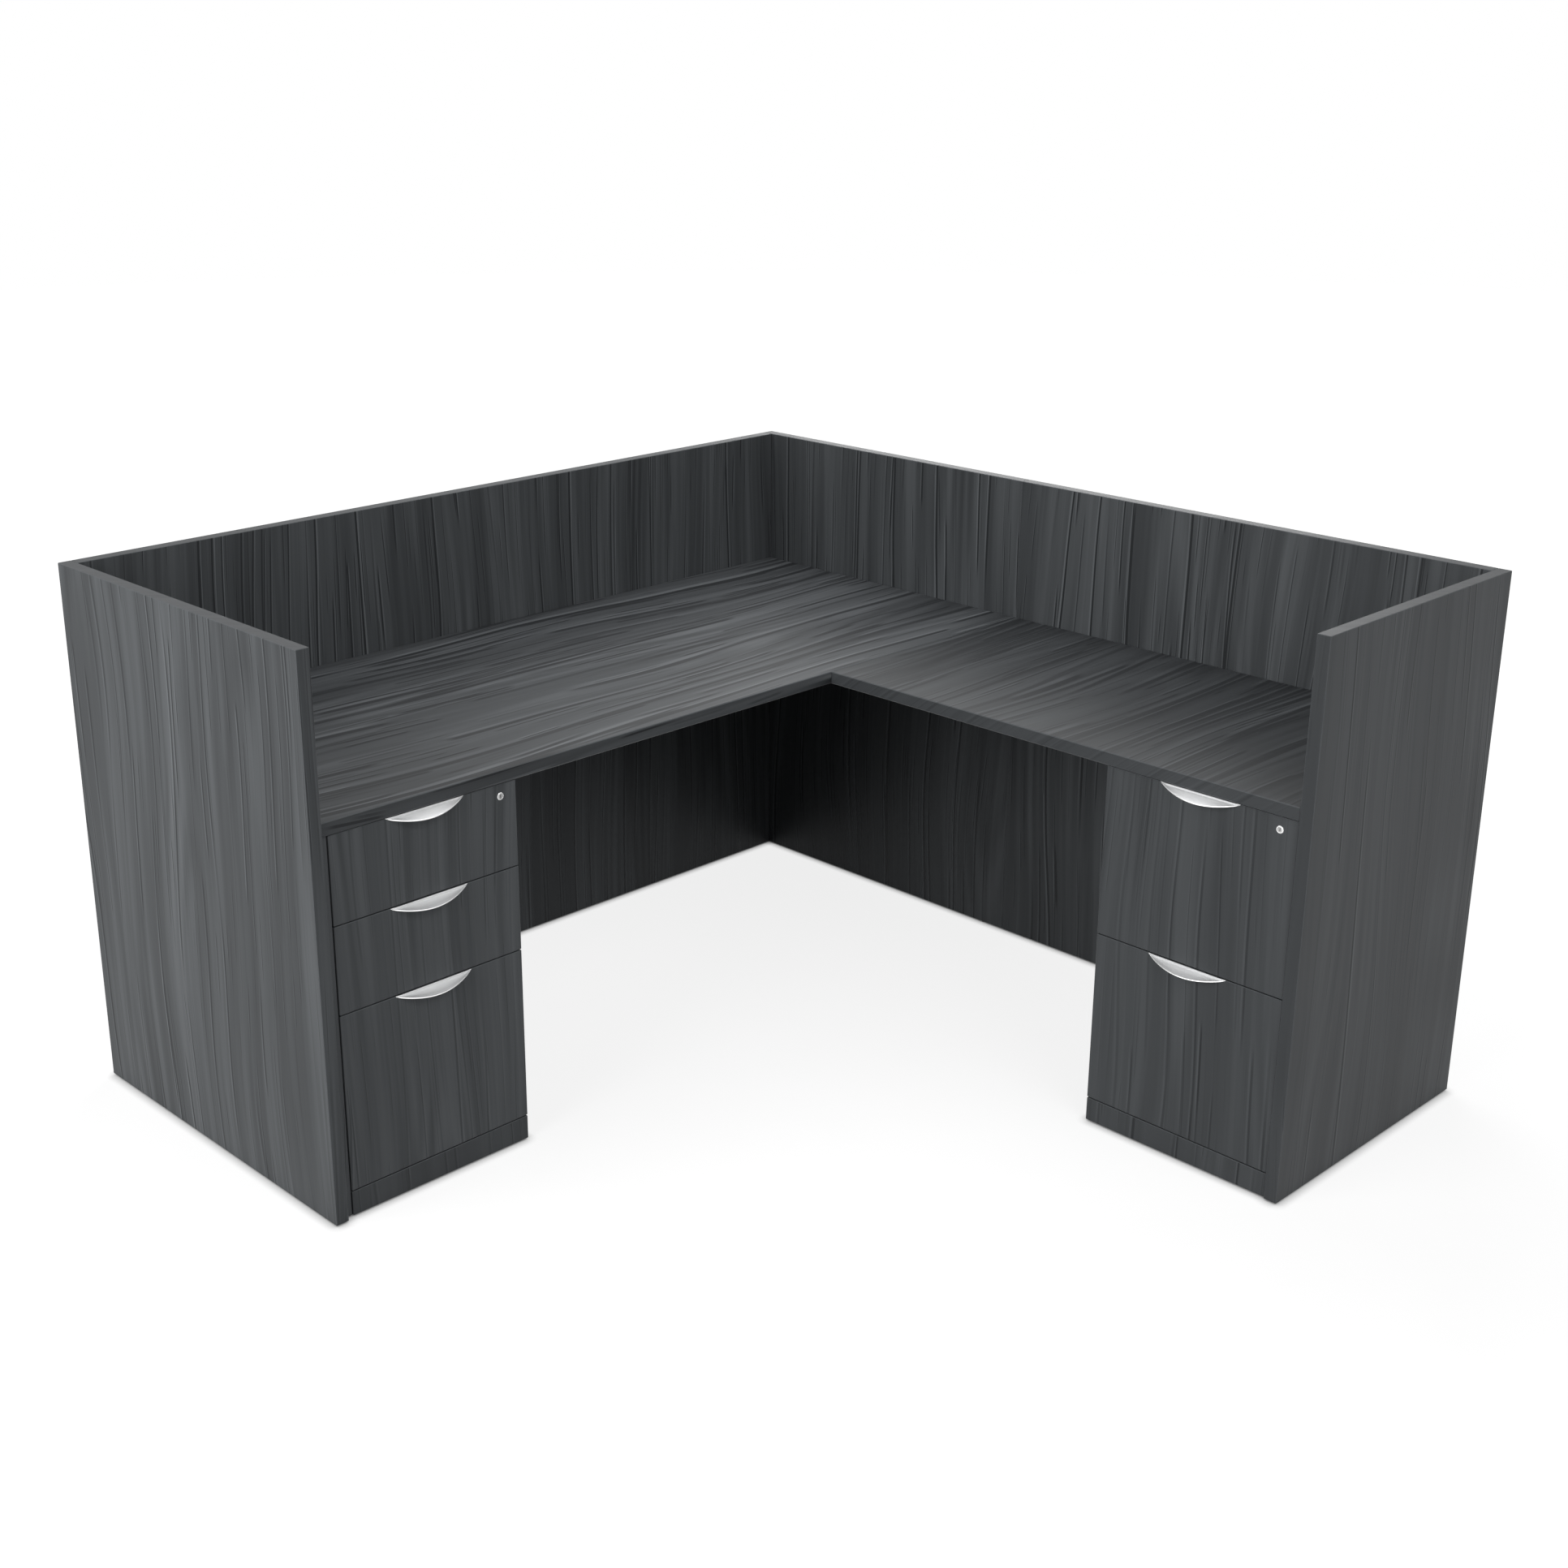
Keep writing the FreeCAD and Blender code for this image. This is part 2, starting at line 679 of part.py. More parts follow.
def visor_section(sketch):
    """Draw the visor's section: two arcs about one centre, from the drawer's face to the tip."""
    root = FreeCAD.Vector(0, 0, 0)
    tip = FreeCAD.Vector(-value("pull_projection"), -value("pull_drop"), 0)
    radius = value("pull_crown_radius")
    inner_radius = radius - value("pull_thickness")
    chord = tip - root
    rise = (radius ** 2 - (chord.Length / 2) ** 2) ** 0.5
    across = FreeCAD.Vector(-chord.y, chord.x, 0).normalize()
    centre = root + chord / 2 + across * rise
    crown = centre - across * radius
    inner_tip = centre + (tip - centre).normalize() * inner_radius
    inner_root = FreeCAD.Vector(0, centre.y + (inner_radius ** 2 - centre.x ** 2) ** 0.5, 0)
    inner_crown = centre - across * inner_radius
    outer = sketch.addGeometry(Part.Arc(root, crown, tip), False)
    inner = sketch.addGeometry(Part.Arc(inner_root, inner_crown, inner_tip), False)
    edge = sketch.addGeometry(Part.LineSegment(tip, inner_tip), False)
    seat = sketch.addGeometry(Part.LineSegment(inner_root, root), False)
    root_end = 1 if sketch.getPoint(outer, 1).Length < sketch.getPoint(outer, 2).Length else 2
    tip_end = 3 - root_end
    constraints = [
        ("Coincident", outer, root_end, -1, 1),
        ("Coincident", outer, 3, inner, 3),
        ("Coincident", outer, tip_end, edge, 1),
        ("Coincident", inner, tip_end, edge, 2),
        ("Coincident", inner, root_end, seat, 1),
        ("Coincident", seat, 2, outer, root_end),
        ("PointOnObject", inner, root_end, -2),
        ("PointOnObject", outer, 3, edge),
    ]
    for constraint in constraints:
        sketch.addConstraint(Sketcher.Constraint(*constraint))
    hold(sketch, outer, tip_end, "X", "-pull_projection")
    hold(sketch, outer, tip_end, "Y", "-pull_drop")
    for arc, text in ((outer, "pull_crown_radius"), (inner, "pull_crown_radius - pull_thickness")):
        index = sketch.addConstraint(Sketcher.Constraint("Radius", arc, value(text)))
        sketch.setExpression(f"Constraints[{index}]", bound(text))


def make_drawer(name, bottom, height, hangs_files, lock_bore, stand):
    """Make one drawer with its pull and runners, and give the cabinet's members of its runners."""
    headroom = "file_headroom" if hangs_files else "box_headroom"
    low = f"{bottom} + drawer_lift"
    box_height = f"{height} - drawer_lift - {headroom}"
    mid_height = f"{low} + ({box_height}) / 2"
    drawer_front(name, bottom, height, lock_bore, stand)
    drawer_box(name, low, box_height, hangs_files, stand)
    drawer_bottom(name, low, stand)
    crescent_pull(name, f"{bottom} + {height}", stand)
    keep_group(f"{name}_runners", runner_pair(hat(), mid_height, stand))
    middle = channel("middle_web", "middle_edge", "middle_half")
    keep_group(f"{name}_middle_runners", runner_pair(middle, mid_height, stand))
    return runner_pair(channel("0", "runner_flange", "cabinet_half"), mid_height, stand)


# Locks

def lock_barrel(side, stand):
    """Turn the fixed barrel with the collar that shows on the drawer front."""
    body = new_body(f"{side}_lock_barrel")
    sketch = sketch_on(body, "XY_Plane")
    bore = "lock_plug_radius + lock_plug_clearance"
    polygon(sketch, [(bore, "-lock_collar_thickness"),
                     ("lock_collar_radius - lock_collar_chamfer", "-lock_collar_thickness"),
                     ("lock_collar_radius", "lock_collar_chamfer - lock_collar_thickness"),
                     ("lock_collar_radius", "0"), ("lock_barrel_radius", "0"),
                     ("lock_barrel_radius", "lock_barrel_length"), (bore, "lock_barrel_length")])
    revolve(body, sketch)
    stand(body, "lock_x", "0", "lock_z")
    keep(f"{side}_lock_barrel", body)


def lock_plug(side, stand):
    """Make the turning plug with its keyway in front and its cam behind the barrel."""
    body = new_body(f"{side}_lock_plug")
    sketch = sketch_on(body, "XY_Plane")
    polygon(sketch, [("0", "-lock_plug_proud"), ("lock_plug_radius", "-lock_plug_proud"),
                     ("lock_plug_radius", "cam_front"), ("0", "cam_front")])
    revolve(body, sketch)
    cam = sketch_on(body, "XZ_Plane")
    cam.setExpression("AttachmentOffset.Base.z", bound("-cam_front"))
    rectangle(cam, "-cam_length", "-cam_half", "cam_half", "cam_half")
    pad(body, cam, "cam_thickness", reverse=True)
    keyway = sketch_on(body, "XZ_Plane")
    keyway.setExpression("AttachmentOffset.Base.z", bound("lock_plug_proud"))
    rectangle(keyway, "-keyway_width / 2", "-keyway_height / 2", "keyway_width / 2",
              "keyway_height / 2")
    pocket(body, keyway, "keyway_depth")
    stand(body, "lock_x", "0", "lock_z")
    keep(f"{side}_lock_plug", body)


# The whole

def make_pedestal(side, stand, drawers):
    """Make one pedestal with its drawers and lock, and give its glides' points."""
    points = make_cabinet(side, stand)
    cabinet_members = []
    for drawer in drawers:
        cabinet_members += make_drawer(*drawer, stand)
    keep_group(f"{side}_pedestal_runners", cabinet_members)
    lock_barrel(side, stand)
    lock_plug(side, stand)
    return points


def make_workstation():
    """Make every sub-part of the workstation."""
    glide_points = make_panels()
    make_worksurfaces()
    make_joining_plates()
    make_brackets()
    # Each drawer: name, bottom and height of its front, whether it hangs files, whether it locks
    left_drawers = [
        ("left_top_drawer", "upper_box_bottom", "box_front_height", False, True),
        ("left_middle_drawer", "upper_front_bottom", "box_front_height", False, False),
        ("left_file_drawer", "lower_front_bottom", "file_front_height", True, False),
    ]
    right_drawers = [
        ("right_top_file_drawer", "upper_front_bottom", "upper_file_height", True, True),
        ("right_lower_file_drawer", "lower_front_bottom", "file_front_height", True, False),
    ]
    for x, y in make_pedestal("left", place_in_left, left_drawers):
        glide_points.append((f"left_pedestal_x + ({x})", f"left_pedestal_y + ({y})"))
    for x, y in make_pedestal("right", place_in_right, right_drawers):
        glide_points.append((f"right_pedestal_x + ({y})", f"right_pedestal_y - ({x})"))
    make_filler_strip()
    keep_group("levelling_glides", [glide(x, y) for x, y in glide_points])


def check_model():
    """Stop if any object failed, any cut removed nothing, or any sub-part is empty or invalid."""
    failed = [item.Label for item in doc.Objects if {"Invalid", "Error"} & set(item.State)]
    cuts = [item for item in doc.Objects if item.TypeId == "PartDesign::Pocket"]
    failed += [cut.Label for cut in cuts if cut.Shape.Volume >= cut.BaseFeature.Shape.Volume]
    for label, item in nodes.items():
        shape = item.Shape
        if shape.isNull() or not shape.isValid() or not shape.Solids:
            failed.append(label)
    if failed:
        raise RuntimeError(f"these objects failed: {failed}")


def write_parts():
    """Write each sub-part to a file of its own name."""
    os.makedirs("parts", exist_ok=True)
    for label, item in nodes.items():
        item.Shape.exportStep(f"parts/{label}.step")


fill_sheet()
make_workstation()
doc.recompute()
check_model()
write_parts()
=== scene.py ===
import math

import bpy
import numpy as np
from bpy.props import FloatProperty, FloatVectorProperty, PointerProperty
from mathutils import Matrix, Vector


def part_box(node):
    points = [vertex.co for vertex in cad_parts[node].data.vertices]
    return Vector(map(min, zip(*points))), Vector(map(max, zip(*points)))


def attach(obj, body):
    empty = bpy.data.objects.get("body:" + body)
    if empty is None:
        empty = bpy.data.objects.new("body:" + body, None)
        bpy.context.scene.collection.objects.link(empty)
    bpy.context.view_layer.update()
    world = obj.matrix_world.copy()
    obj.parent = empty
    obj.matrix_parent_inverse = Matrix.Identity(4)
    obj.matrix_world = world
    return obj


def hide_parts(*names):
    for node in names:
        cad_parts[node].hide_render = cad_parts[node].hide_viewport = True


bl_info = {
    "name": "Corner Workstation",
    "version": (1, 0, 0),
    "blender": (4, 5, 0),
    "location": "3D View > Sidebar > Workstation",
    "description": "Laminate, metal, pulls, screws and a studio for a corner workstation",
    "category": "Object",
}

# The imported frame, in metres, with +X to the right, +Y to the rear and +Z up
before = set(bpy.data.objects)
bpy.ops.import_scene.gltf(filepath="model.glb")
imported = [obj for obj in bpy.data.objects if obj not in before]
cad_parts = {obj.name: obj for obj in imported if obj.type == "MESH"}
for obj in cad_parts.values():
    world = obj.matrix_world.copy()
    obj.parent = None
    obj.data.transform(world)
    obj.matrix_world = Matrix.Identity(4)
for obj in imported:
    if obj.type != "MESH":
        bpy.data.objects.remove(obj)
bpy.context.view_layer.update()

# Each drawer with the pedestal that it slides in
DRAWERS = {
    "left_top_drawer": "left",
    "left_middle_drawer": "left",
    "left_file_drawer": "left",
    "right_top_file_drawer": "right",
    "right_lower_file_drawer": "right",
}

# Boards of a pedestal's case
CASE_BOARDS = ("left_side", "right_side", "back", "bottom", "kick_rail", "top_rails")

# Turns from a pedestal's own frame, x to its right and y to its rear, to the row frame
TURNS = {
    "left": np.eye(3),
    "right": np.array([[0.0, 1.0, 0.0], [-1.0, 0.0, 0.0], [0.0, 0.0, 1.0]]),
}

# Laminate of each board or group of like boards: its place in the pattern, the strength of its
# grain, how much lighter it is than the laminate's body, partly a real difference in tone and
# partly painted light and shade that evens out how much light each board catches, how broad its
# lines are, and the share of their weight that they keep
LAMINATES = {
    "left_end_panel": ((0.7, 0.0, 0.0), 1.6, 0.03, 1.0, 1.0),
    "main_back_panel": ((3.8, 1.7, 2.3), 1.6, 0.0, 1.0, 1.0),
    "right_end_panel": ((6.9, 3.4, 4.6), 1.6, 0.02, 1.0, 1.0),
    "return_back_panel": ((10.0, 5.1, 6.9), 1.6, 0.03, 1.0, 1.0),
    "return_end_panel": ((13.1, 6.8, 9.2), 0.9, -0.01, 1.0, 1.0),
    "main_worksurface": ((1.88, 0.9, 7.7), 1.5, -0.02, 2.7, 1.0),
    "return_worksurface": ((8.57, 3.8, 11.8), 1.25, -0.21, 2.3, 1.0),
    "left_fronts": ((27.0, 8.0, 3.0), 1.35, 0.12, 1.0, 0.40),
    "right_fronts": ((33.0, 8.0, 3.0), 1.0, 0.02, 1.0, 0.55),
    "left_pedestal": ((41.0, 11.0, 5.0), 0.7, 0.0, 1.0, 1.0),
    "right_pedestal": ((48.0, 11.0, 5.0), 0.7, 0.0, 1.0, 1.0),
    "filler_strip": ((61.0, 3.0, 1.0), 1.1, 0.08, 1.0, 1.0),
}

# Soft layers of the grain: scale across the grain, scale along it, detail and weight in the tone
GRAIN_LAYERS = (
    (5.0, 0.30, 2.0, 0.34),
    (60.0, 1.0, 3.0, 0.10),
    (280.0, 3.2, 2.0, 0.06),
)
GRAIN_ROUGHNESS = 0.55

# Bands of the grain with plain edges: scale across, scale along and weight in the tone
BAND_LAYERS = (
    (17.0, 0.55, 0.045),
    (52.0, 0.95, 0.025),
)
# Levels of a band's noise between which its edge lies
BAND_EDGE = (0.44, 0.56)

# Lines of the grain: cells in a metre across it, how many cells they wander, how often in a metre
# they come and go, half a line's width in metres, its weight, and the level above which it shows
LINE_LAYERS = (
    (15.0, 1.2, 0.8, 0.0014, 0.52, 0.47),
    (42.0, 1.9, 1.8, 0.0011, 0.48, 0.51),
    (125.0, 2.6, 3.2, 0.0006, 0.34, 0.54),
)
# Scale of the noise by which the cells wander, for each cell across the grain and metre along it
WANDER_ACROSS = 0.2
WANDER_ALONG = 0.9
# Step from one cell to the next in the noise that shows their lines, and how softly it shows them
RUN_STEP = 7.3
RUN_FADE = 0.06
# A line's first place in its cell, and the room that it has from there, as shares of the cell
LINE_START = 0.15
LINE_ROOM = 0.6
# The light line beside a dark one: how many half widths away, and its share of the weight
LIGHT_APART = 2.6
LIGHT_SHARE = 0.45

# How the pattern lies on a board: share of y in the number across the grain, and the scale and
# depth of the slow noise that bends it
ACROSS_FROM_Y = 0.83
SWAY_SCALE = (2.6, 0.9, 0.0)
SWAY_DEPTH = 0.11

# Arched figure: scale of the hills that it goes round, how closely its contours stand, scale of
# the patches that it is strong in, the levels at their edge, and its weight outside and inside
# them
HILL_SCALE = (5.5, 0.42, 0.0)
HILL_CONTOURS = 95.0
PATCH_SCALE = (4.0, 1.3, 0.0)
PATCH_EDGE = (0.48, 0.64)
PATCH_WEIGHT = (0.01, 0.055)

# A board's ends: the parts of the normal along the grain between which they begin, the share of
# the grain that they lose, and how much darker an upright board's are, painted shade that tones
# down the light that its top edge catches from above
END_FACING = (0.5, 0.9)
END_CALM = 0.8
END_PAINTED_SHADE = 0.16
# Largest parts of the normal between which a broken edge, with its painted highlight, turns into
# a plain face
EDGE_HIGHLIGHT_FACING = (0.80, 0.94)

# Places of the laminate's three colours in its tone, and of a plain finish's two shades
GRAIN_PLACES = (0.12, 0.5, 0.92)
SHADE_PLACES = (0.3, 0.7)

# Rings along a pull's visor, and the points in each on its bead, face, lip and back
VISOR_RINGS = 121
BEAD_POINTS = 12
FACE_POINTS = 44
LIP_POINTS = 9
BACK_POINTS = 14
# Powers that thin the bead towards a pull's points and round its section
BEAD_THINNING = 0.25
BEAD_ROUNDING = 0.6
# Share of the visor's arc that its wall may take up near the points, the width of the rim's soft
# edge, and the least length that the dish is measured on, in metres
WALL_SHARE = 0.45
RIM_FADE = 0.0005
LEAST_ARC = 0.00001
# Rings along a pull's seat, and the share of its thickness that its broken edges take
SEAT_RINGS = 61
SEAT_BREAK = 0.25

# Rings of a screw's head from its foot inwards, as shares of its radius, and the points in each
HEAD_RINGS = (1.0, 1.0, 0.93, 0.82, 0.66, 0.58, 0.40, 0.24, 0.12)
HEAD_POINTS = 24
# How far the dome falls towards its edge, and the power that flattens it
DOME_FALL = 0.96
DOME_POWER = 0.35
# Half width and reach of the cross recess, as shares of the head's radius
RECESS_ARM = 0.13
RECESS_REACH = 0.62
# A direction that no screw points along, from which a head's own x is found
ASLANT = (0.3, 0.5, 0.8)

# Places of brackets along a panel, and of screws up a drawer's front and along its runners, as
# shares of what they stand on
BACK_BRACKETS = (1 / 6, 1 / 2, 5 / 6)
SIDE_BRACKETS = (1 / 4, 3 / 4)
FRONT_ROWS = (0.34, 0.80)
RUNNER_ROWS = (0.08, 0.5, 0.92)

# Share of the locks' colour that their plugs keep
PLUG_SHADE = 0.50

# Edges of a new piece that turn by more than this stay sharp
SHARP_ANGLE = math.radians(38.0)

# Each lamp's size, its place and the point that it is aimed at
LAMPS = {
    "key": (3.2, (-3.7, 0.4, 2.0), (-0.3, 0.2, 0.6)),
    "fill": (3.6, (-0.5, -4.0, 3.6), (0.0, 0.0, 0.6)),
    "top": (2.0, (1.2, 1.2, 3.0), (0.2, 0.3, 0.75)),
    "rear": (2.4, (3.6, 2.2, 2.2), (0.3, 0.3, 0.6)),
}

# The floor: its rings and the points in each, the greys that it is mottled with and the scale of
# that, and the reach of the painted contact shadow, a dark line where something stands on it
FLOOR_RINGS = 24
FLOOR_POINTS = 64
FLOOR_GREYS = (0.25, 0.26)
FLOOR_MOTTLE = 6.0
CONTACT_SHADOW_REACH = 0.02
CONTACT_SHADOW_SAMPLES = 12
# Radii between which the white that is added to the floor rises from one strength to the other
WHITE_RADII = (1.2, 3.2)
WHITE_STRENGTHS = (0.84, 1.0)
WHITE = (1.0, 1.0, 1.0, 1.0)

# The camera's sensor in millimetres, and the range that it sees in metres
SENSOR_WIDTH = 36.0
SIGHT = (0.05, 100.0)


class WorkstationFinish(bpy.types.PropertyGroup):
    """Colours and gloss of the boards and metals."""

    grain_dark: FloatVectorProperty(
        name="Dark grain", description="Colour of the darkest lines in the laminate",
        default=(0.0295, 0.0315, 0.0338), subtype="COLOR", min=0.0, max=1.0)
    grain_body: FloatVectorProperty(
        name="Laminate body", description="Middle colour of the laminate",
        default=(0.0747, 0.0798, 0.0845), subtype="COLOR", min=0.0, max=1.0)
    grain_light: FloatVectorProperty(
        name="Light grain", description="Colour of the lightest lines in the laminate",
        default=(0.1553, 0.165, 0.1734), subtype="COLOR", min=0.0, max=1.0)
    laminate_roughness: FloatProperty(
        name="Laminate roughness", description="Middle roughness of the laminate's satin face",
        default=0.46, min=0.0, max=1.0, subtype="FACTOR")
    laminate_specular: FloatProperty(
        name="Laminate gloss level", description="Strength of the laminate's clear reflection",
        default=0.14, min=0.0, max=1.0, subtype="FACTOR")
    # Painted highlight: the broken edges of the laminate are coloured lighter than its faces
    edge_painted_highlight: FloatProperty(
        name="Edge light", description="How much lighter the broken edges are than the faces",
        default=0.45, min=0.0, max=1.0, subtype="FACTOR")
    melamine: FloatVectorProperty(
        name="Drawer melamine", description="Colour of the drawer boxes",
        default=(0.30, 0.30, 0.31), subtype="COLOR", min=0.0, max=1.0)
    hardboard: FloatVectorProperty(
        name="Drawer bottoms", description="Colour of the faced hardboard bottoms",
        default=(0.33, 0.33, 0.34), subtype="COLOR", min=0.0, max=1.0)
    nickel_face: FloatVectorProperty(
        name="Nickel face", description="Colour of the pulls' brushed hollow face",
        default=(0.64, 0.645, 0.65), subtype="COLOR", min=0.0, max=1.0)
    # Painted highlight: the pulls' polished rims are also coloured lighter than their face
    nickel_rim_highlight: FloatVectorProperty(
        name="Nickel rim", description="Colour of the pulls' polished rims",
        default=(0.86, 0.86, 0.86), subtype="COLOR", min=0.0, max=1.0)
    zinc: FloatVectorProperty(
        name="Zinc plate", description="Colour of the runners and drawer screws",
        default=(0.55, 0.56, 0.57), subtype="COLOR", min=0.0, max=1.0)
    lock_nickel: FloatVectorProperty(
        name="Lock nickel", description="Colour of the locks",
        default=(0.90, 0.90, 0.90), subtype="COLOR", min=0.0, max=1.0)
    black_coat: FloatVectorProperty(
        name="Black powder coat", description="Colour of the brackets and joining plates",
        default=(0.030, 0.030, 0.032), subtype="COLOR", min=0.0, max=1.0)
    nylon: FloatVectorProperty(
        name="Glide nylon", description="Colour of the levelling glides",
        default=(0.025, 0.025, 0.027), subtype="COLOR", min=0.0, max=1.0)


class WorkstationPulls(bpy.types.PropertyGroup):
    """Sizes of the crescent pulls."""

    half_width: FloatProperty(
        name="Half width", description="From the middle of a pull to its pointed end",
        default=0.082, min=0.02, max=0.3, unit="LENGTH")
    projection: FloatProperty(
        name="Projection", description="How far a pull's middle stands out from the drawer front",
        default=0.021, min=0.005, max=0.1, unit="LENGTH")
    drop: FloatProperty(
        name="Drop", description="How far a pull's lip hangs below the front's upper edge",
        default=0.0145, min=0.005, max=0.1, unit="LENGTH")
    crown_radius: FloatProperty(
        name="Crown radius", description="Radius of the visor's curved section",
        default=0.120, min=0.015, max=0.5, unit="LENGTH")
    wall: FloatProperty(
        name="Wall", description="Thickness of the visor",
        default=0.0025, min=0.0005, max=0.01, unit="LENGTH")
    bead_height: FloatProperty(
        name="Bead height", description="Height of the polished bead along the drawer front",
        default=0.0022, min=0.0005, max=0.02, unit="LENGTH")
    bead_depth: FloatProperty(
        name="Bead depth", description="How far the bead stands out from the drawer front",
        default=0.0017, min=0.0, max=0.01, unit="LENGTH")
    lower_rim: FloatProperty(
        name="Lower rim", description="Width of the polished rim along the lip",
        default=0.0012, min=0.0, max=0.02, unit="LENGTH")
    hollow: FloatProperty(
        name="Hollow", description="Depth of the dish in the brushed face",
        default=0.0013, min=0.0, max=0.005, unit="LENGTH")
    flange_height: FloatProperty(
        name="Flange height", description="Height of the seat behind the visor at its middle",
        default=0.014, min=0.002, max=0.05, unit="LENGTH")
    flange_thickness: FloatProperty(
        name="Flange thickness", description="Thickness of the seat behind the visor",
        default=0.002, min=0.0005, max=0.01, unit="LENGTH")


class WorkstationScrews(bpy.types.PropertyGroup):
    """Sizes and places of the small screws."""

    head_radius: FloatProperty(
        name="Head radius", description="Radius of a screw's pan head",
        default=0.0042, min=0.001, max=0.02, unit="LENGTH")
    head_height: FloatProperty(
        name="Head height", description="Height of a screw's pan head",
        default=0.0022, min=0.0005, max=0.01, unit="LENGTH")
    recess_depth: FloatProperty(
        name="Recess depth", description="Depth of the cross recess in a head",
        default=0.0012, min=0.0, max=0.005, unit="LENGTH")
    bracket_steel: FloatProperty(
        name="Bracket steel", description="Thickness of the brackets and joining plates",
        default=0.003, min=0.001, max=0.01, unit="LENGTH")
    bracket_spread: FloatProperty(
        name="Bracket spread", description="From a bracket's middle line to each screw beside it",
        default=0.011, min=0.0, max=0.05, unit="LENGTH")
    bracket_reach: FloatProperty(
        name="Bracket reach", description="From a bracket's bend to its screws, along each leg",
        default=0.032, min=0.005, max=0.1, unit="LENGTH")
    plate_length: FloatProperty(
        name="Plate length", description="Length of one joining plate",
        default=0.160, min=0.02, max=0.5, unit="LENGTH")
    plate_inset: FloatProperty(
        name="Plate inset", description="From a joining plate's edges to its screws",
        default=0.014, min=0.002, max=0.1, unit="LENGTH")
    box_board: FloatProperty(
        name="Box board", description="Thickness of a drawer box's inner front",
        default=0.012, min=0.003, max=0.05, unit="LENGTH")
    front_spread: FloatProperty(
        name="Front spread", description="From a drawer's middle line to the screws of its front",
        default=0.11, min=0.02, max=0.3, unit="LENGTH")
    pull_spread: FloatProperty(
        name="Pull spread", description="From a pull's middle to each of its screws",
        default=0.048, min=0.01, max=0.2, unit="LENGTH")
    runner_steel: FloatProperty(
        name="Runner steel", description="Thickness of a runner's sheet",
        default=0.0012, min=0.0005, max=0.005, unit="LENGTH")


class WorkstationStage(bpy.types.PropertyGroup):
    """Camera, lamps and floor."""

    camera_place: FloatVectorProperty(
        name="Camera place", description="Where the camera stands, in the row frame",
        default=(-2.6540, -2.6242, 2.0009), subtype="TRANSLATION", unit="LENGTH")
    camera_heading: FloatProperty(
        name="Camera heading", description="Turn of the view from +Y towards +X",
        default=math.radians(43.832), subtype="ANGLE")
    camera_pitch: FloatProperty(
        name="Camera pitch", description="Tilt of the view below the horizon",
        default=math.radians(19.465), subtype="ANGLE")
    camera_roll: FloatProperty(
        name="Camera roll", description="Turn of the camera about its own view",
        default=math.radians(-0.096), subtype="ANGLE")
    camera_lens: FloatProperty(
        name="Camera lens", description="Focal length on a 36 mm sensor, in millimetres",
        default=48.398, min=10.0, max=300.0)
    camera_shift: FloatVectorProperty(
        name="Camera shift", description="Shift of the frame, as shares of its width",
        default=(0.03756, -0.01634), size=2)
    floor_radius: FloatProperty(
        name="Floor radius", description="Radius of the round floor",
        default=14.0, min=3.0, max=100.0, unit="LENGTH")
    key_power: FloatProperty(
        name="Key power", description="Power of the soft lamp at the left, in watts",
        default=118.0, min=0.0, max=2000.0)
    fill_power: FloatProperty(
        name="Fill power", description="Power of the soft lamp in front, in watts",
        default=105.0, min=0.0, max=2000.0)
    top_power: FloatProperty(
        name="Top power", description="Power of the lamp above the worksurfaces, in watts",
        default=38.0, min=0.0, max=2000.0)
    rear_power: FloatProperty(
        name="Rear power", description="Power of the soft lamp behind on the right, in watts",
        default=40.0, min=0.0, max=2000.0)
    sky_colour: FloatVectorProperty(
        name="Sky colour", description="Colour of the even light from all round",
        default=(0.97, 0.985, 1.0), subtype="COLOR", min=0.0, max=1.0)
    sky_strength: FloatProperty(
        name="Sky strength", description="Strength of the even light from all round",
        default=0.05, min=0.0, max=5.0)


# Node helpers

def add_node(tree, kind, inputs=None, **settings):
    """Add one node, set its own settings, and fill or link its inputs."""
    item = tree.nodes.new(kind)
    for name, setting in settings.items():
        setattr(item, name, setting)
    for socket, given in (inputs or {}).items():
        if isinstance(given, bpy.types.NodeSocket):
            tree.links.new(given, item.inputs[socket])
        else:
            item.inputs[socket].default_value = given
    return item


def reckon(tree, operation, *values):
    """Add a Math node on the given numbers or sockets and give its result."""
    return add_node(tree, "ShaderNodeMath", dict(enumerate(values)), operation=operation).outputs[0]


def vector_reckon(tree, operation, *values):
    """Add a Vector Math node on the given vectors or sockets and give its result."""
    return add_node(tree, "ShaderNodeVectorMath", dict(enumerate(values)),
                    operation=operation).outputs[0]


def split(tree, vector):
    """Give the three numbers of a vector."""
    return add_node(tree, "ShaderNodeSeparateXYZ", {0: vector}).outputs


def join(tree, first, second):
    """Give two numbers as a flat vector."""
    return add_node(tree, "ShaderNodeCombineXYZ", {0: first, 1: second}).outputs[0]


def fade(tree, given, low, high, low_result=0.0, high_result=1.0):
    """Carry a number smoothly from one result below low to the other above high."""
    inputs = {"Value": given, "From Min": low, "From Max": high,
              "To Min": low_result, "To Max": high_result}
    return add_node(tree, "ShaderNodeMapRange", inputs,
                    interpolation_type="SMOOTHSTEP").outputs["Result"]


def noise(tree, point, scale, detail=1.0, roughness=0.5):
    """Give a noise at a point, with a scale of its own along each axis."""
    scaled = vector_reckon(tree, "MULTIPLY", point, scale)
    inputs = {"Vector": scaled, "Scale": 1.0, "Detail": detail, "Roughness": roughness}
    return add_node(tree, "ShaderNodeTexNoise", inputs).outputs["Fac"]


def opaque(colour):
    """Give a colour's three numbers as four."""
    return (*colour, 1.0)


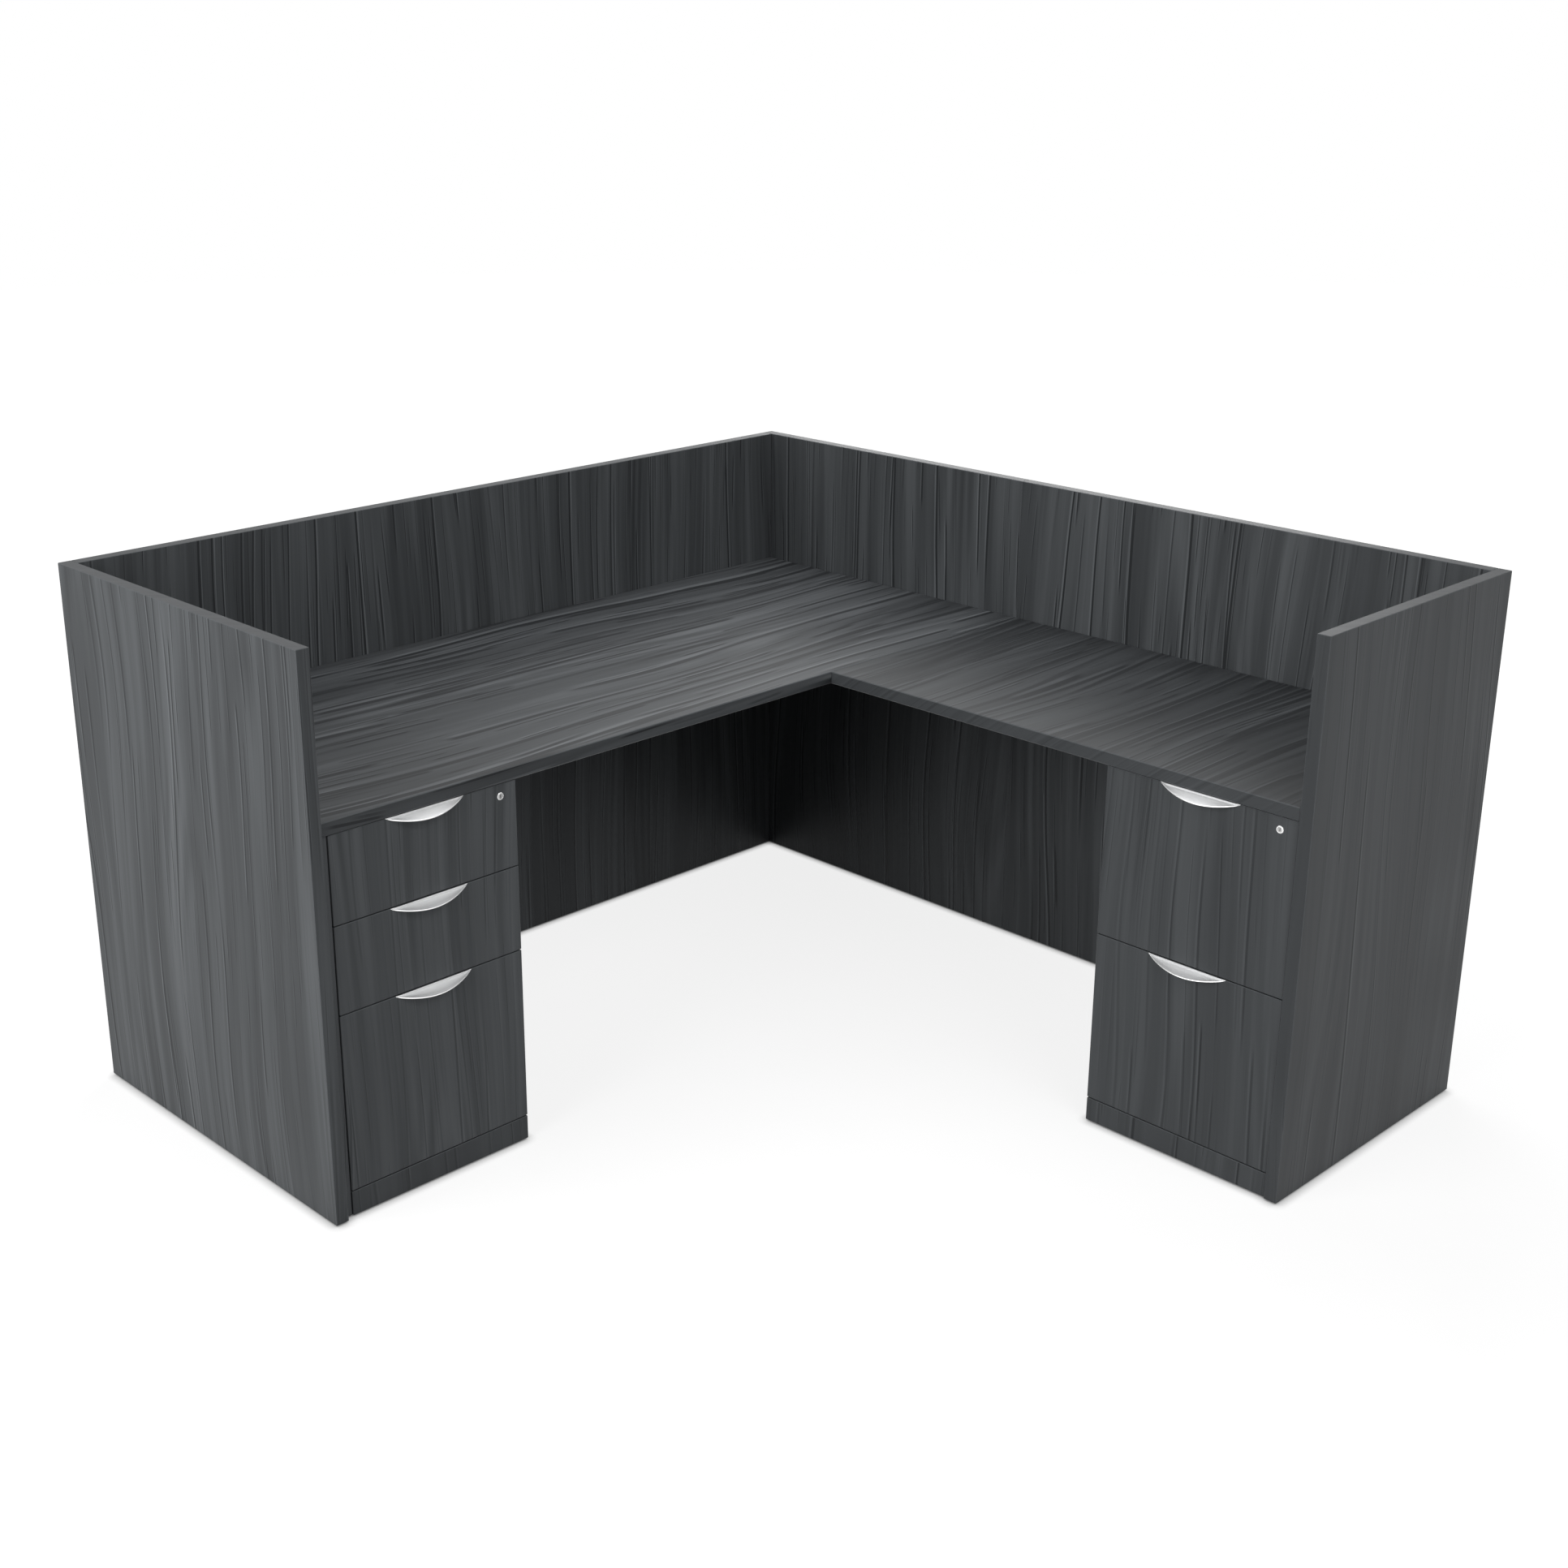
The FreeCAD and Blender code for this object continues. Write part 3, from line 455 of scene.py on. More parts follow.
def ramp(tree, given, places, colours):
    """Carry a number through colours that stand at their places."""
    item = add_node(tree, "ShaderNodeValToRGB", {"Fac": given})
    elements = item.color_ramp.elements
    while len(elements) < len(places):
        elements.new(0.5)
    for element, place, colour in zip(elements, places, colours):
        element.position = place
        element.color = opaque(colour)
    return item.outputs["Color"]


def shaded(tree, tone, colour, dark, light):
    """Carry a tone from a darker share of one colour to a lighter one."""
    shades = [[min(1.0, part * share) for part in colour] for share in (dark, light)]
    return ramp(tree, tone, SHADE_PLACES, shades)


def mixed(tree, share, base, colour):
    """Carry a colour that varies over to a plain one by a share."""
    inputs = {"Factor": share, "A": base, "B": opaque(colour)}
    return add_node(tree, "ShaderNodeMix", inputs, data_type="RGBA").outputs["Result"]


def new_finish(name):
    """Start a material and give it with its tree, its shader and its Object coordinates."""
    material = bpy.data.materials.new(name)
    material.use_nodes = True
    tree = material.node_tree
    shader = tree.nodes["Principled BSDF"]
    point = add_node(tree, "ShaderNodeTexCoord").outputs["Object"]
    return material, tree, shader, point


def colour_in(tree, shader, colour):
    """Give the shader a colour that varies."""
    tree.links.new(colour, shader.inputs["Base Color"])


def roughen(tree, shader, given, middle, spread):
    """Vary the shader's roughness about a middle by a number from 0 to 1."""
    rough = reckon(tree, "MULTIPLY_ADD", given, spread, middle - spread / 2)
    tree.links.new(rough, shader.inputs["Roughness"])


def raise_relief(tree, shader, height, strength, depth):
    """Raise the shader's surface by a height, whose full depth is in metres."""
    inputs = {"Height": height, "Strength": strength, "Distance": depth}
    bump = add_node(tree, "ShaderNodeBump", inputs)
    tree.links.new(bump.outputs["Normal"], shader.inputs["Normal"])


# Finishes

def grain_lines(tree, tone, grain, layer, broad, kept_weight):
    """Add one layer of lines to a tone.

    The width is counted off in cells that wander with a noise. Each cell holds a dark line with a
    light one beside it, which has a place and a strength of its own, and comes and goes along the
    grain.
    """
    cells, wander, runs, half, weight, shown = layer
    across, along, _ = split(tree, grain)
    drift = noise(tree, grain, (WANDER_ACROSS * cells, WANDER_ALONG, 0.0))
    count = reckon(tree, "MULTIPLY_ADD", drift, wander, reckon(tree, "MULTIPLY", across, cells))
    cell = reckon(tree, "FLOOR", count)
    lot = add_node(tree, "ShaderNodeTexWhiteNoise", {"W": cell}, noise_dimensions="1D").outputs
    run = noise(tree, join(tree, cell, along), (RUN_STEP, runs, 0.0))
    strength = reckon(tree, "MULTIPLY", fade(tree, run, shown, shown + RUN_FADE), lot["Value"])
    from_start = reckon(tree, "SUBTRACT", reckon(tree, "FRACT", count), LINE_START)
    beside = reckon(tree, "MULTIPLY_ADD", split(tree, lot["Color"])[1], -LINE_ROOM, from_start)
    width = half * cells * broad
    for centre, lighter in ((0.0, -1.0), (LIGHT_APART * width, LIGHT_SHARE)):
        apart = reckon(tree, "ABSOLUTE", reckon(tree, "SUBTRACT", beside, centre))
        line = fade(tree, apart, width, 2.0 * width, lighter * weight * kept_weight, 0.0)
        tone = reckon(tree, "MULTIPLY_ADD", line, strength, tone)
    return tone


def arched_figure(tree, flat, grain):
    """Give the sine of a slow noise's height, whose contours are arches, strong in patches."""
    hills = noise(tree, grain, HILL_SCALE, detail=0.0)
    contours = reckon(tree, "SINE", reckon(tree, "MULTIPLY", hills, HILL_CONTOURS))
    patch = noise(tree, flat, PATCH_SCALE)
    return reckon(tree, "MULTIPLY", contours, fade(tree, patch, *PATCH_EDGE, *PATCH_WEIGHT))


def laminate(name, grain_along_x, finish, place, contrast, tone_and_painted_light, broad, kept_weight):
    """Wood-grain laminate.

    The point is turned until the grain runs along its z, moved to a part of the pattern of its
    own, and laid flat as one number across the grain and one along it. A slow noise bends the
    first. Noises that are stretched along the grain, from wide bands to fine lines, add up to one
    tone, with bands of plain edges, layers of lines and the arched figure. The board's lift moves
    that tone, partly as a real difference in tone and partly as painted light and shade. The
    board's ends stay calm, an upright one's are darkened with painted shade, and its broken edges
    get a painted highlight.
    """
    material, tree, shader, point = new_finish(name)
    turn = (0.0, math.pi / 2, 0.0) if grain_along_x else (0.0, 0.0, 0.0)
    turned = add_node(tree, "ShaderNodeMapping",
                      {"Vector": point, "Location": place, "Rotation": turn}).outputs[0]
    x, y, along = split(tree, turned)
    across = reckon(tree, "MULTIPLY_ADD", y, ACROSS_FROM_Y, x)
    flat = join(tree, across, along)
    sway = reckon(tree, "MULTIPLY_ADD", noise(tree, flat, SWAY_SCALE), SWAY_DEPTH, across)
    grain = join(tree, sway, along)

    tone = -sum(weight for *_, weight in GRAIN_LAYERS) / 2
    layers = []
    for wide, long, detail, weight in GRAIN_LAYERS:
        layers.append(noise(tree, grain, (wide, long, 0.0), detail, GRAIN_ROUGHNESS))
        tone = reckon(tree, "MULTIPLY_ADD", layers[-1], weight, tone)
    for wide, long, weight in BAND_LAYERS:
        band = noise(tree, grain, (wide, long, 0.0))
        tone = reckon(tree, "ADD", tone, fade(tree, band, *BAND_EDGE, -weight, weight))
    for layer in LINE_LAYERS:
        tone = grain_lines(tree, tone, grain, layer, broad, kept_weight)
    tone = reckon(tree, "ADD", tone, arched_figure(tree, flat, grain))

    normal = add_node(tree, "ShaderNodeTexCoord").outputs["Normal"]
    facing = split(tree, vector_reckon(tree, "ABSOLUTE", normal))
    end = fade(tree, facing[0 if grain_along_x else 2], *END_FACING)
    calmed = reckon(tree, "MULTIPLY_ADD", end, -END_CALM * contrast, contrast)
    # Painted shade darkens an upright board's ends, whose top edges catch the light from above; a
    # worksurface's ends drop the board's lift instead
    end_tone_and_painted_shade = -tone_and_painted_light if grain_along_x else -END_PAINTED_SHADE
    # The board's lift moves its body tone, partly a real difference in tone and partly painted light
    # and shade
    body = reckon(tree, "MULTIPLY_ADD", end, end_tone_and_painted_shade, GRAIN_PLACES[1] + tone_and_painted_light)
    tone = reckon(tree, "MULTIPLY_ADD", tone, calmed, body)
    colours = (finish.grain_dark, finish.grain_body, finish.grain_light)
    colour = ramp(tree, tone, GRAIN_PLACES, colours)
    widest = reckon(tree, "MAXIMUM", reckon(tree, "MAXIMUM", facing[0], facing[1]), facing[2])
    # Painted highlight: broken edges are carried towards the light grain colour
    broken = fade(tree, widest, *EDGE_HIGHLIGHT_FACING, finish.edge_painted_highlight, 0.0)
    colour_in(tree, shader, mixed(tree, broken, colour, finish.grain_light))

    roughen(tree, shader, layers[1], middle=finish.laminate_roughness, spread=0.16)
    shader.inputs["Specular IOR Level"].default_value = finish.laminate_specular
    fine = reckon(tree, "ADD", layers[2], layers[1])
    raise_relief(tree, shader, fine, strength=0.10, depth=0.0004)
    return material


def clouded(tree, point, given, share, clouds):
    """Add a share of a fine noise and the rest of slow clouds up to one tone."""
    slow = noise(tree, point, (clouds,) * 3, detail=2.0)
    return reckon(tree, "MULTIPLY_ADD", given, share, reckon(tree, "MULTIPLY", slow, 1 - share))


def brushing(tree, point, lengthwise, along, across):
    """Give a noise that is stretched along one axis."""
    scale = [along if axis == lengthwise else across for axis in range(3)]
    return noise(tree, point, scale, detail=2.0)


def melamine(name, colour):
    """Matt melamine: a fine speckle and slow clouds round one colour, with a pebbled face."""
    material, tree, shader, point = new_finish(name)
    speckle = noise(tree, point, (900.0,) * 3)
    tone = clouded(tree, point, speckle, share=0.5, clouds=9.0)
    colour_in(tree, shader, shaded(tree, tone, colour, dark=0.84, light=1.12))
    roughen(tree, shader, speckle, middle=0.555, spread=0.15)
    raise_relief(tree, shader, speckle, strength=0.08, depth=0.0002)
    return material


def brushed_metal(name, colour, roughness, lengthwise, spread=0.10):
    """Brushed metal: noise that is stretched along one axis, in colour, roughness and height."""
    material, tree, shader, point = new_finish(name)
    brushed = brushing(tree, point, lengthwise, along=25.0, across=1600.0)
    tone = clouded(tree, point, brushed, share=0.6, clouds=30.0)
    colour_in(tree, shader, shaded(tree, tone, colour, dark=1 - spread, light=1 + spread))
    shader.inputs["Metallic"].default_value = 1.0
    roughen(tree, shader, brushed, middle=roughness, spread=0.18)
    raise_relief(tree, shader, brushed, strength=0.05, depth=0.0001)
    return material


def pull_nickel(name, lengthwise, finish):
    """Satin nickel: brushed along the pull on its hollow face and polished on its rims.

    The mesh's own rim attribute, 0 on the face and 1 on the rims, carries one into the other,
    and the rims' lighter colour is a painted highlight.
    """
    material, tree, shader, point = new_finish(name)
    brushed = brushing(tree, point, lengthwise, along=18.0, across=1500.0)
    tone = clouded(tree, point, brushed, share=0.7, clouds=40.0)
    face = shaded(tree, tone, finish.nickel_face, dark=0.93, light=1.07)
    rim = add_node(tree, "ShaderNodeAttribute", attribute_name="rim").outputs["Fac"]
    # Painted highlight: the rims take a lighter colour than the brushed face
    colour_in(tree, shader, mixed(tree, rim, face, finish.nickel_rim_highlight))
    shader.inputs["Metallic"].default_value = 1.0
    least, spread, polish = 0.46, 0.12, 0.20
    satin = reckon(tree, "MULTIPLY_ADD", brushed, spread, least)
    rough = reckon(tree, "SUBTRACT", satin, reckon(tree, "MULTIPLY", rim, polish))
    tree.links.new(rough, shader.inputs["Roughness"])
    raise_relief(tree, shader, brushed, strength=0.05, depth=0.0001)
    return material


def coated(name, colour, roughness, pebble):
    """Powder coat or moulded nylon: a skin pebbled at one scale, round one colour."""
    material, tree, shader, point = new_finish(name)
    pebbles = noise(tree, point, (pebble,) * 3, detail=2.0)
    colour_in(tree, shader, shaded(tree, pebbles, colour, dark=0.8, light=1.25))
    roughen(tree, shader, pebbles, middle=roughness, spread=0.2)
    raise_relief(tree, shader, pebbles, strength=0.25, depth=0.0003)
    return material


def dress(material, *names):
    """Give CAD nodes one finish."""
    for name in names:
        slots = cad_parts[name].data.materials
        slots.clear()
        slots.append(material)


# Surfaces

def smooth(given):
    """The smooth step 3t^2 - 2t^3 of t held between 0 and 1."""
    t = np.clip(given, 0.0, 1.0)
    return t * t * (3.0 - 2.0 * t)


def segment_depth(x, half, sagitta):
    """Depth at x of the circle segment with that half chord and sagitta.

    Its radius is A = (half^2 + sagitta^2) / (2 sagitta), and its depth sqrt(A^2 - x^2) - A
    + sagitta.
    """
    radius = (half ** 2 + sagitta ** 2) / (2.0 * sagitta)
    return np.sqrt(radius ** 2 - x ** 2) - radius + sagitta


def round_turn(points):
    """Angles of that many points all the way round."""
    return np.linspace(0.0, 2.0 * math.pi, points + 1)[None, :-1]


def belts(rings, around):
    """Quads that join each ring of points to the next, all the way round."""
    row, column = np.meshgrid(np.arange(rings - 1), np.arange(around), indexing="ij")
    beside = (column + 1) % around
    corners = [row * around + column, row * around + beside,
               (row + 1) * around + beside, (row + 1) * around + column]
    return np.stack(corners, -1).reshape(-1, 4)


def fan(start, around, centre):
    """Triangles that join the ring whose points begin at start to a centre point."""
    step = np.arange(around)
    return np.stack([start + step, start + (step + 1) % around, np.full(around, centre)], -1)


def skin(rings):
    """Close rings of points, an array of rings by points by 3, into one skin.

    Quads join each ring to the next, all the way round, and a fan on the mean point closes each
    end. Gives the points, the quads and the fans, turned so that the signed volume, a sixth of the
    sum of a . (b x c) over all triangles, is positive.
    """
    count, around, _ = rings.shape
    ends = np.stack([rings[0].mean(0), rings[-1].mean(0)])
    points = np.concatenate([rings.reshape(-1, 3), ends])
    quads = belts(count, around)
    first_fan = fan(0, around, count * around)[:, ::-1]
    last_fan = fan((count - 1) * around, around, count * around + 1)
    fans = np.concatenate([first_fan, last_fan])
    triangles = np.concatenate([quads[:, [0, 1, 2]], quads[:, [0, 2, 3]], fans])
    a, b, c = (points[triangles[:, k]] for k in range(3))
    if np.einsum("ij,ij->i", a, np.cross(b, c)).sum() < 0:
        quads = quads[:, ::-1]
        fans = fans[:, ::-1]
    return points, quads, fans


def build(name, shells, material, body, rim=None):
    """Join closed shells into one object that rides on a body and takes a slot's finish."""
    points, quads, fans = zip(*shells)
    starts = np.cumsum([0, *map(len, points)])
    quads = np.concatenate([shell + start for shell, start in zip(quads, starts)])
    fans = np.concatenate([shell + start for shell, start in zip(fans, starts)])
    mesh = bpy.data.meshes.new(name)
    mesh.from_pydata(np.concatenate(points).tolist(), [], quads.tolist() + fans.tolist())
    mesh.polygons.foreach_set("use_smooth", np.ones(len(mesh.polygons), bool))
    mesh.set_sharp_from_angle(angle=SHARP_ANGLE)
    if rim is not None:
        mesh.attributes.new("rim", "FLOAT", "POINT").data.foreach_set("value", rim)
    mesh.materials.append(material)
    mesh.validate()
    piece = bpy.data.objects.new(name, mesh)
    bpy.context.scene.collection.objects.link(piece)
    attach(piece, body)
    return piece


def along_pull(half_width, rings):
    """Places along a pull, half width times sin(t) for t from -90 to 90 degrees, less its points."""
    return half_width * np.sin(np.linspace(-1.0, 1.0, rings) * math.pi / 2)[1:-1, None]


def visor(pull):
    """The crescent visor of a pull, with its middle on the origin, out along -y and down along -z.

    The section at any x starts with a bead along the drawer front, y = -depth sin(pi s)^0.6 and
    z = -height s, which thins to the points as the fourth root of 1 - (x / half width)^2. Below
    it a band of one wall's thickness follows a circle arc from the drawer front to the lip, and
    ends where its y meets the crescent's plan, a circle segment. Down to a lower rim the band's
    outer face is dished by hollow sin(pi s) times its share of the middle's length. Gives the
    rings and each point's rim value.
    """
    x = along_pull(pull.half_width, VISOR_RINGS)
    reach = segment_depth(x, pull.half_width, pull.projection)
    taper = (1.0 - (x / pull.half_width) ** 2) ** BEAD_THINNING
    bead_height = pull.bead_height * taper
    fall = pull.drop - pull.bead_height
    chord = math.hypot(pull.projection, fall)
    rise = math.sqrt(pull.crown_radius ** 2 - chord ** 2 / 4)
    centre_y = -pull.projection / 2 + fall / chord * rise
    centre_z = -bead_height - fall / 2 - pull.projection / chord * rise

    share = np.linspace(0.0, 1.0, BEAD_POINTS + 1)[None, :-1]
    stand = np.minimum(pull.bead_depth * taper, reach)
    bead_y = -stand * np.sin(math.pi * share) ** BEAD_ROUNDING - centre_y
    bead_z = -bead_height * share - centre_z
    bead = np.stack(np.broadcast_arrays(bead_y, bead_z), -1)

    root = math.acos(-centre_y / pull.crown_radius)
    lip = np.arccos((-reach - centre_y) / pull.crown_radius)
    arc = pull.crown_radius * (lip - root)
    wall = np.minimum(pull.wall, WALL_SHARE * arc)
    bend = lip - wall / 2 / pull.crown_radius

    share = (1.0 - np.cos(np.linspace(0.0, math.pi, FACE_POINTS)))[None, :] / 2
    angle = root + share * (bend - root)
    from_lip = pull.crown_radius * (lip - angle)
    face = smooth((from_lip - pull.lower_rim * taper ** 4) / RIM_FADE)
    dished = np.maximum(arc - pull.lower_rim, LEAST_ARC)
    dish = np.clip(pull.crown_radius * (angle - root) / dished, 0.0, 1.0)
    radius = pull.crown_radius - pull.hollow * arc / arc.max() * np.sin(math.pi * dish)
    outer = np.stack([radius * np.cos(angle), radius * np.sin(angle)], -1)

    turn = np.linspace(0.0, math.pi, LIP_POINTS + 2)[None, 1:-1]
    middle = pull.crown_radius - wall / 2 + wall / 2 * np.cos(turn)
    onward = wall / 2 * np.sin(turn)
    rounded = np.stack([middle * np.cos(bend) - onward * np.sin(bend),
                        middle * np.sin(bend) + onward * np.cos(bend)], -1)

    inside = pull.crown_radius - wall
    seat = np.arccos(np.clip(-centre_y / inside, -1.0, 1.0))
    back = np.linspace(0.0, 1.0, BACK_POINTS)[None, :]
    inner_angle = bend + back * (np.minimum(seat, bend) - bend)
    inner = np.stack([inside * np.cos(inner_angle), inside * np.sin(inner_angle)], -1)

    section = np.concatenate([bead, outer, rounded, inner], 1)
    section[..., 0] = np.minimum(section[..., 0] + centre_y, 0.0)
    section[..., 1] += centre_z
    across = np.broadcast_to(x, section.shape[:2])
    rings = np.concatenate([across[..., None], section], -1)
    rim = np.concatenate([np.ones_like(bead[..., 0]), 1.0 - face, np.ones_like(rounded[..., 0]),
                          np.zeros_like(inner_angle)], 1)
    return rings, rim


def flange(pull):
    """The seat of a pull on the drawer front: a thin plate whose lower edge is a circle segment."""
    x = along_pull(pull.half_width, SEAT_RINGS)
    height = segment_depth(x, pull.half_width, pull.flange_height)
    depth = np.minimum(pull.flange_thickness, height / 2)
    broken = SEAT_BREAK * depth
    y = np.concatenate([0 * x, 0 * x, broken - depth, -depth, -depth, broken - depth], 1)
    z = np.concatenate([0 * x, -height, -height, broken - height, -broken, 0 * x], 1)
    return np.stack([np.broadcast_to(x, y.shape), y, z], -1)


def screw_head(screws):
    """A pan head on the plane z = 0: a low dome of rings, less a cross recess.

    With s the share of the head's radius, the height is H (1 - fall s^2)^power, and 0 on the foot.
    The recess lowers it where either |x| or |y| is under an arm's half width and s is under the
    recess's reach.
    """
    share = np.array(HEAD_RINGS)[:, None]
    angle = round_turn(HEAD_POINTS)
    r = share * screws.head_radius
    x, y = r * np.cos(angle), r * np.sin(angle)
    dome = screws.head_height * (1.0 - share ** 2 * DOME_FALL) ** DOME_POWER * np.ones_like(angle)
    dome[0] = 0.0
    arm = np.minimum(np.abs(x), np.abs(y)) < RECESS_ARM * screws.head_radius
    dome -= screws.recess_depth * (arm & (share < RECESS_REACH))
    return skin(np.stack([x, y, dome], -1))


def stamp(shell, places, axis, side="left"):
    """Copy a head to each place, with its own z along an axis of a pedestal, and turn to the row."""
    points, quads, fans = shell
    out = np.array(axis, float)
    first = np.cross(out, ASLANT)
    first /= np.linalg.norm(first)
    basis = np.stack([first, np.cross(out, first), out])
    turned = points @ basis @ TURNS[side].T
    return [(turned + np.array(place), quads, fans) for place in places]


# Places

def drawers_of(side):
    """Names of the drawers that slide in a pedestal."""
    return [name for name, place in DRAWERS.items() if place == side]


def between(start, end, shares):
    """Places at shares of the way from a start to an end."""
    return [start + (end - start) * share for share in shares]


def ends_of(node):
    """Lowest and highest corners of a node, as arrays."""
    low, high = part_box(node)
    return np.array(low), np.array(high)


def corners(side, node):
    """Front lower left and rear upper right corners of a node, in its pedestal's directions."""
    ends = np.stack(ends_of(node)) @ TURNS[side]
    return ends.min(0), ends.max(0)


def in_row(side, *point):
    """Turn a point from a pedestal's directions to the row frame."""
    return TURNS[side] @ np.array(point, float)


# Operators

class WORKSTATION_OT_boards(bpy.types.Operator):
    """Give the panels, worksurfaces, pedestals and drawer fronts their laminate"""

    bl_idname = "workstation.boards"
    bl_label = "Laminate Boards"

    def execute(self, context):
        finish = context.scene.workstation_finish
        groups = {name: [name] for name in LAMINATES}
        groups["filler_strip"] = ["left_pedestal_filler_strip"]
        for side in TURNS:
            groups[f"{side}_fronts"] = [f"{name}_front" for name in drawers_of(side)]
            groups[f"{side}_pedestal"] = [f"{side}_pedestal_{board}" for board in CASE_BOARDS]
        for group, boards in groups.items():
            grain_along_x = group.endswith("worksurface")
            dress(laminate(f"laminate_{group}", grain_along_x, finish, *LAMINATES[group]), *boards)
        return {"FINISHED"}


class WORKSTATION_OT_drawer_boxes(bpy.types.Operator):
    """Give the drawer boxes and bottoms their melamine"""

    bl_idname = "workstation.drawer_boxes"
    bl_label = "Drawer Boxes"

    def execute(self, context):
        finish = context.scene.workstation_finish
        dress(melamine("drawer_melamine", finish.melamine), *[f"{name}_box" for name in DRAWERS])
        dress(melamine("drawer_hardboard", finish.hardboard),
              *[f"{name}_bottom" for name in DRAWERS])
        return {"FINISHED"}


class WORKSTATION_OT_metal(bpy.types.Operator):
    """Give the runners, locks, brackets, plates and glides their metal and nylon"""

    bl_idname = "workstation.metal"
    bl_label = "Metal and Nylon"

    def execute(self, context):
        finish = context.scene.workstation_finish
        plug_nickel = [part * PLUG_SHADE for part in finish.lock_nickel]
        for side, lengthwise in (("left", 1), ("right", 0)):
            zinc = brushed_metal(f"zinc_{side}", finish.zinc, roughness=0.34, lengthwise=lengthwise)
            runners = [f"{name}{member}" for name in drawers_of(side)
                       for member in ("_runners", "_middle_runners")]
            dress(zinc, f"{side}_pedestal_runners", *runners)
            collar = brushed_metal(f"lock_collar_{side}", finish.lock_nickel, roughness=0.20,
                                   lengthwise=2, spread=0.03)
            dress(collar, f"{side}_lock_barrel")
            plug = brushed_metal(f"lock_plug_{side}", plug_nickel, roughness=0.36, lengthwise=2,
                                 spread=0.12)
            dress(plug, f"{side}_lock_plug")
        coat = coated("black_powder_coat", finish.black_coat, roughness=0.45, pebble=1400.0)
        dress(coat, "worksurface_brackets", "worksurface_joining_plates")
        nylon = coated("glide_nylon", finish.nylon, roughness=0.5, pebble=700.0)
        dress(nylon, "levelling_glides")
        return {"FINISHED"}


class WORKSTATION_OT_pulls(bpy.types.Operator):
    """Build the five crescent pulls with hollow faces and polished rims that carry a painted
    highlight
    """

    bl_idname = "workstation.pulls"
    bl_label = "Crescent Pulls"

    def execute(self, context):
        sizes = context.scene.workstation_pulls
        finish = context.scene.workstation_finish
        nickel = {side: pull_nickel(f"satin_nickel_{side}", lengthwise, finish)
                  for side, lengthwise in (("left", 0), ("right", 1))}
        rings, rim = visor(sizes)
        seat = flange(sizes)
        for name, side in DRAWERS.items():
            low, high = corners(side, f"{name}_front")
            middle = in_row(side, (low[0] + high[0]) / 2, low[1], high[2])
            visor_skin = skin(rings @ TURNS[side].T + middle)
            seat_skin = skin(seat @ TURNS[side].T + middle)
            visor_ends = [1.0, 1.0]
            values = np.concatenate([rim.ravel(), visor_ends, np.zeros(len(seat_skin[0]))])
            pull = build(f"{name}_crescent", [visor_skin, seat_skin], nickel[side], name,
                         values)
            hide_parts(f"{name}_pull")
        return {"FINISHED"}


class WORKSTATION_OT_top_screws(bpy.types.Operator):
    """Add the screws of the brackets and joining plates under the worksurfaces"""

    bl_idname = "workstation.top_screws"
    bl_label = "Screws Under the Tops"

    def execute(self, context):
        sizes = context.scene.workstation_screws
        finish = context.scene.workstation_finish
        head = screw_head(sizes)
        shells = self.bracket_screws(sizes, head) + self.plate_screws(sizes, head)
        coat = coated("black_screw", finish.black_coat, roughness=0.35, pebble=1100.0)
        build("top_screws", shells, coat, "desk")
        return {"FINISHED"}

    def bracket_screws(self, sizes, head):
        """Two screws in each leg of each bracket, which is turned by quarters to face its panel."""
        low, high = ends_of("main_worksurface")
        behind_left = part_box("left_pedestal_back")[1].y
        beside_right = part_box("right_pedestal_left_side")[1].y
        brackets = [(x, high[1], 0) for x in between(low[0], high[0], BACK_BRACKETS)]
        brackets.append((low[0], (behind_left + high[1]) / 2, 1))
        for start, end in ((low[1], high[1]), (beside_right, low[1])):
            brackets += [(high[0], y, -1) for y in between(start, end, SIDE_BRACKETS)]
        reach, steel = sizes.bracket_reach, sizes.bracket_steel
        beside = (-sizes.bracket_spread, sizes.bracket_spread)
        shells = []
        for x, y, quarter in brackets:
            turn = np.array(Matrix.Rotation(quarter * math.pi / 2, 3, "Z"))
            bend = np.array([x, y, low[2]])
            upward = [turn @ (dx, -reach, -steel) + bend for dx in beside]
            sideways = [turn @ (dx, -steel, -reach) + bend for dx in beside]
            shells += stamp(head, upward, (0, 0, -1))
            shells += stamp(head, sideways, turn @ (0, -1, 0))
        return shells

    def plate_screws(self, sizes, head):
        """One screw in each corner of both joining plates."""
        low, high = ends_of("worksurface_joining_plates")
        inset = sizes.plate_inset
        shells = []
        for start in (low[0], high[0] - sizes.plate_length):
            places = [(x, y, low[2]) for x in (start + inset, start + sizes.plate_length - inset)
                      for y in (low[1] + inset, high[1] - inset)]
            shells += stamp(head, places, (0, 0, -1))
        return shells


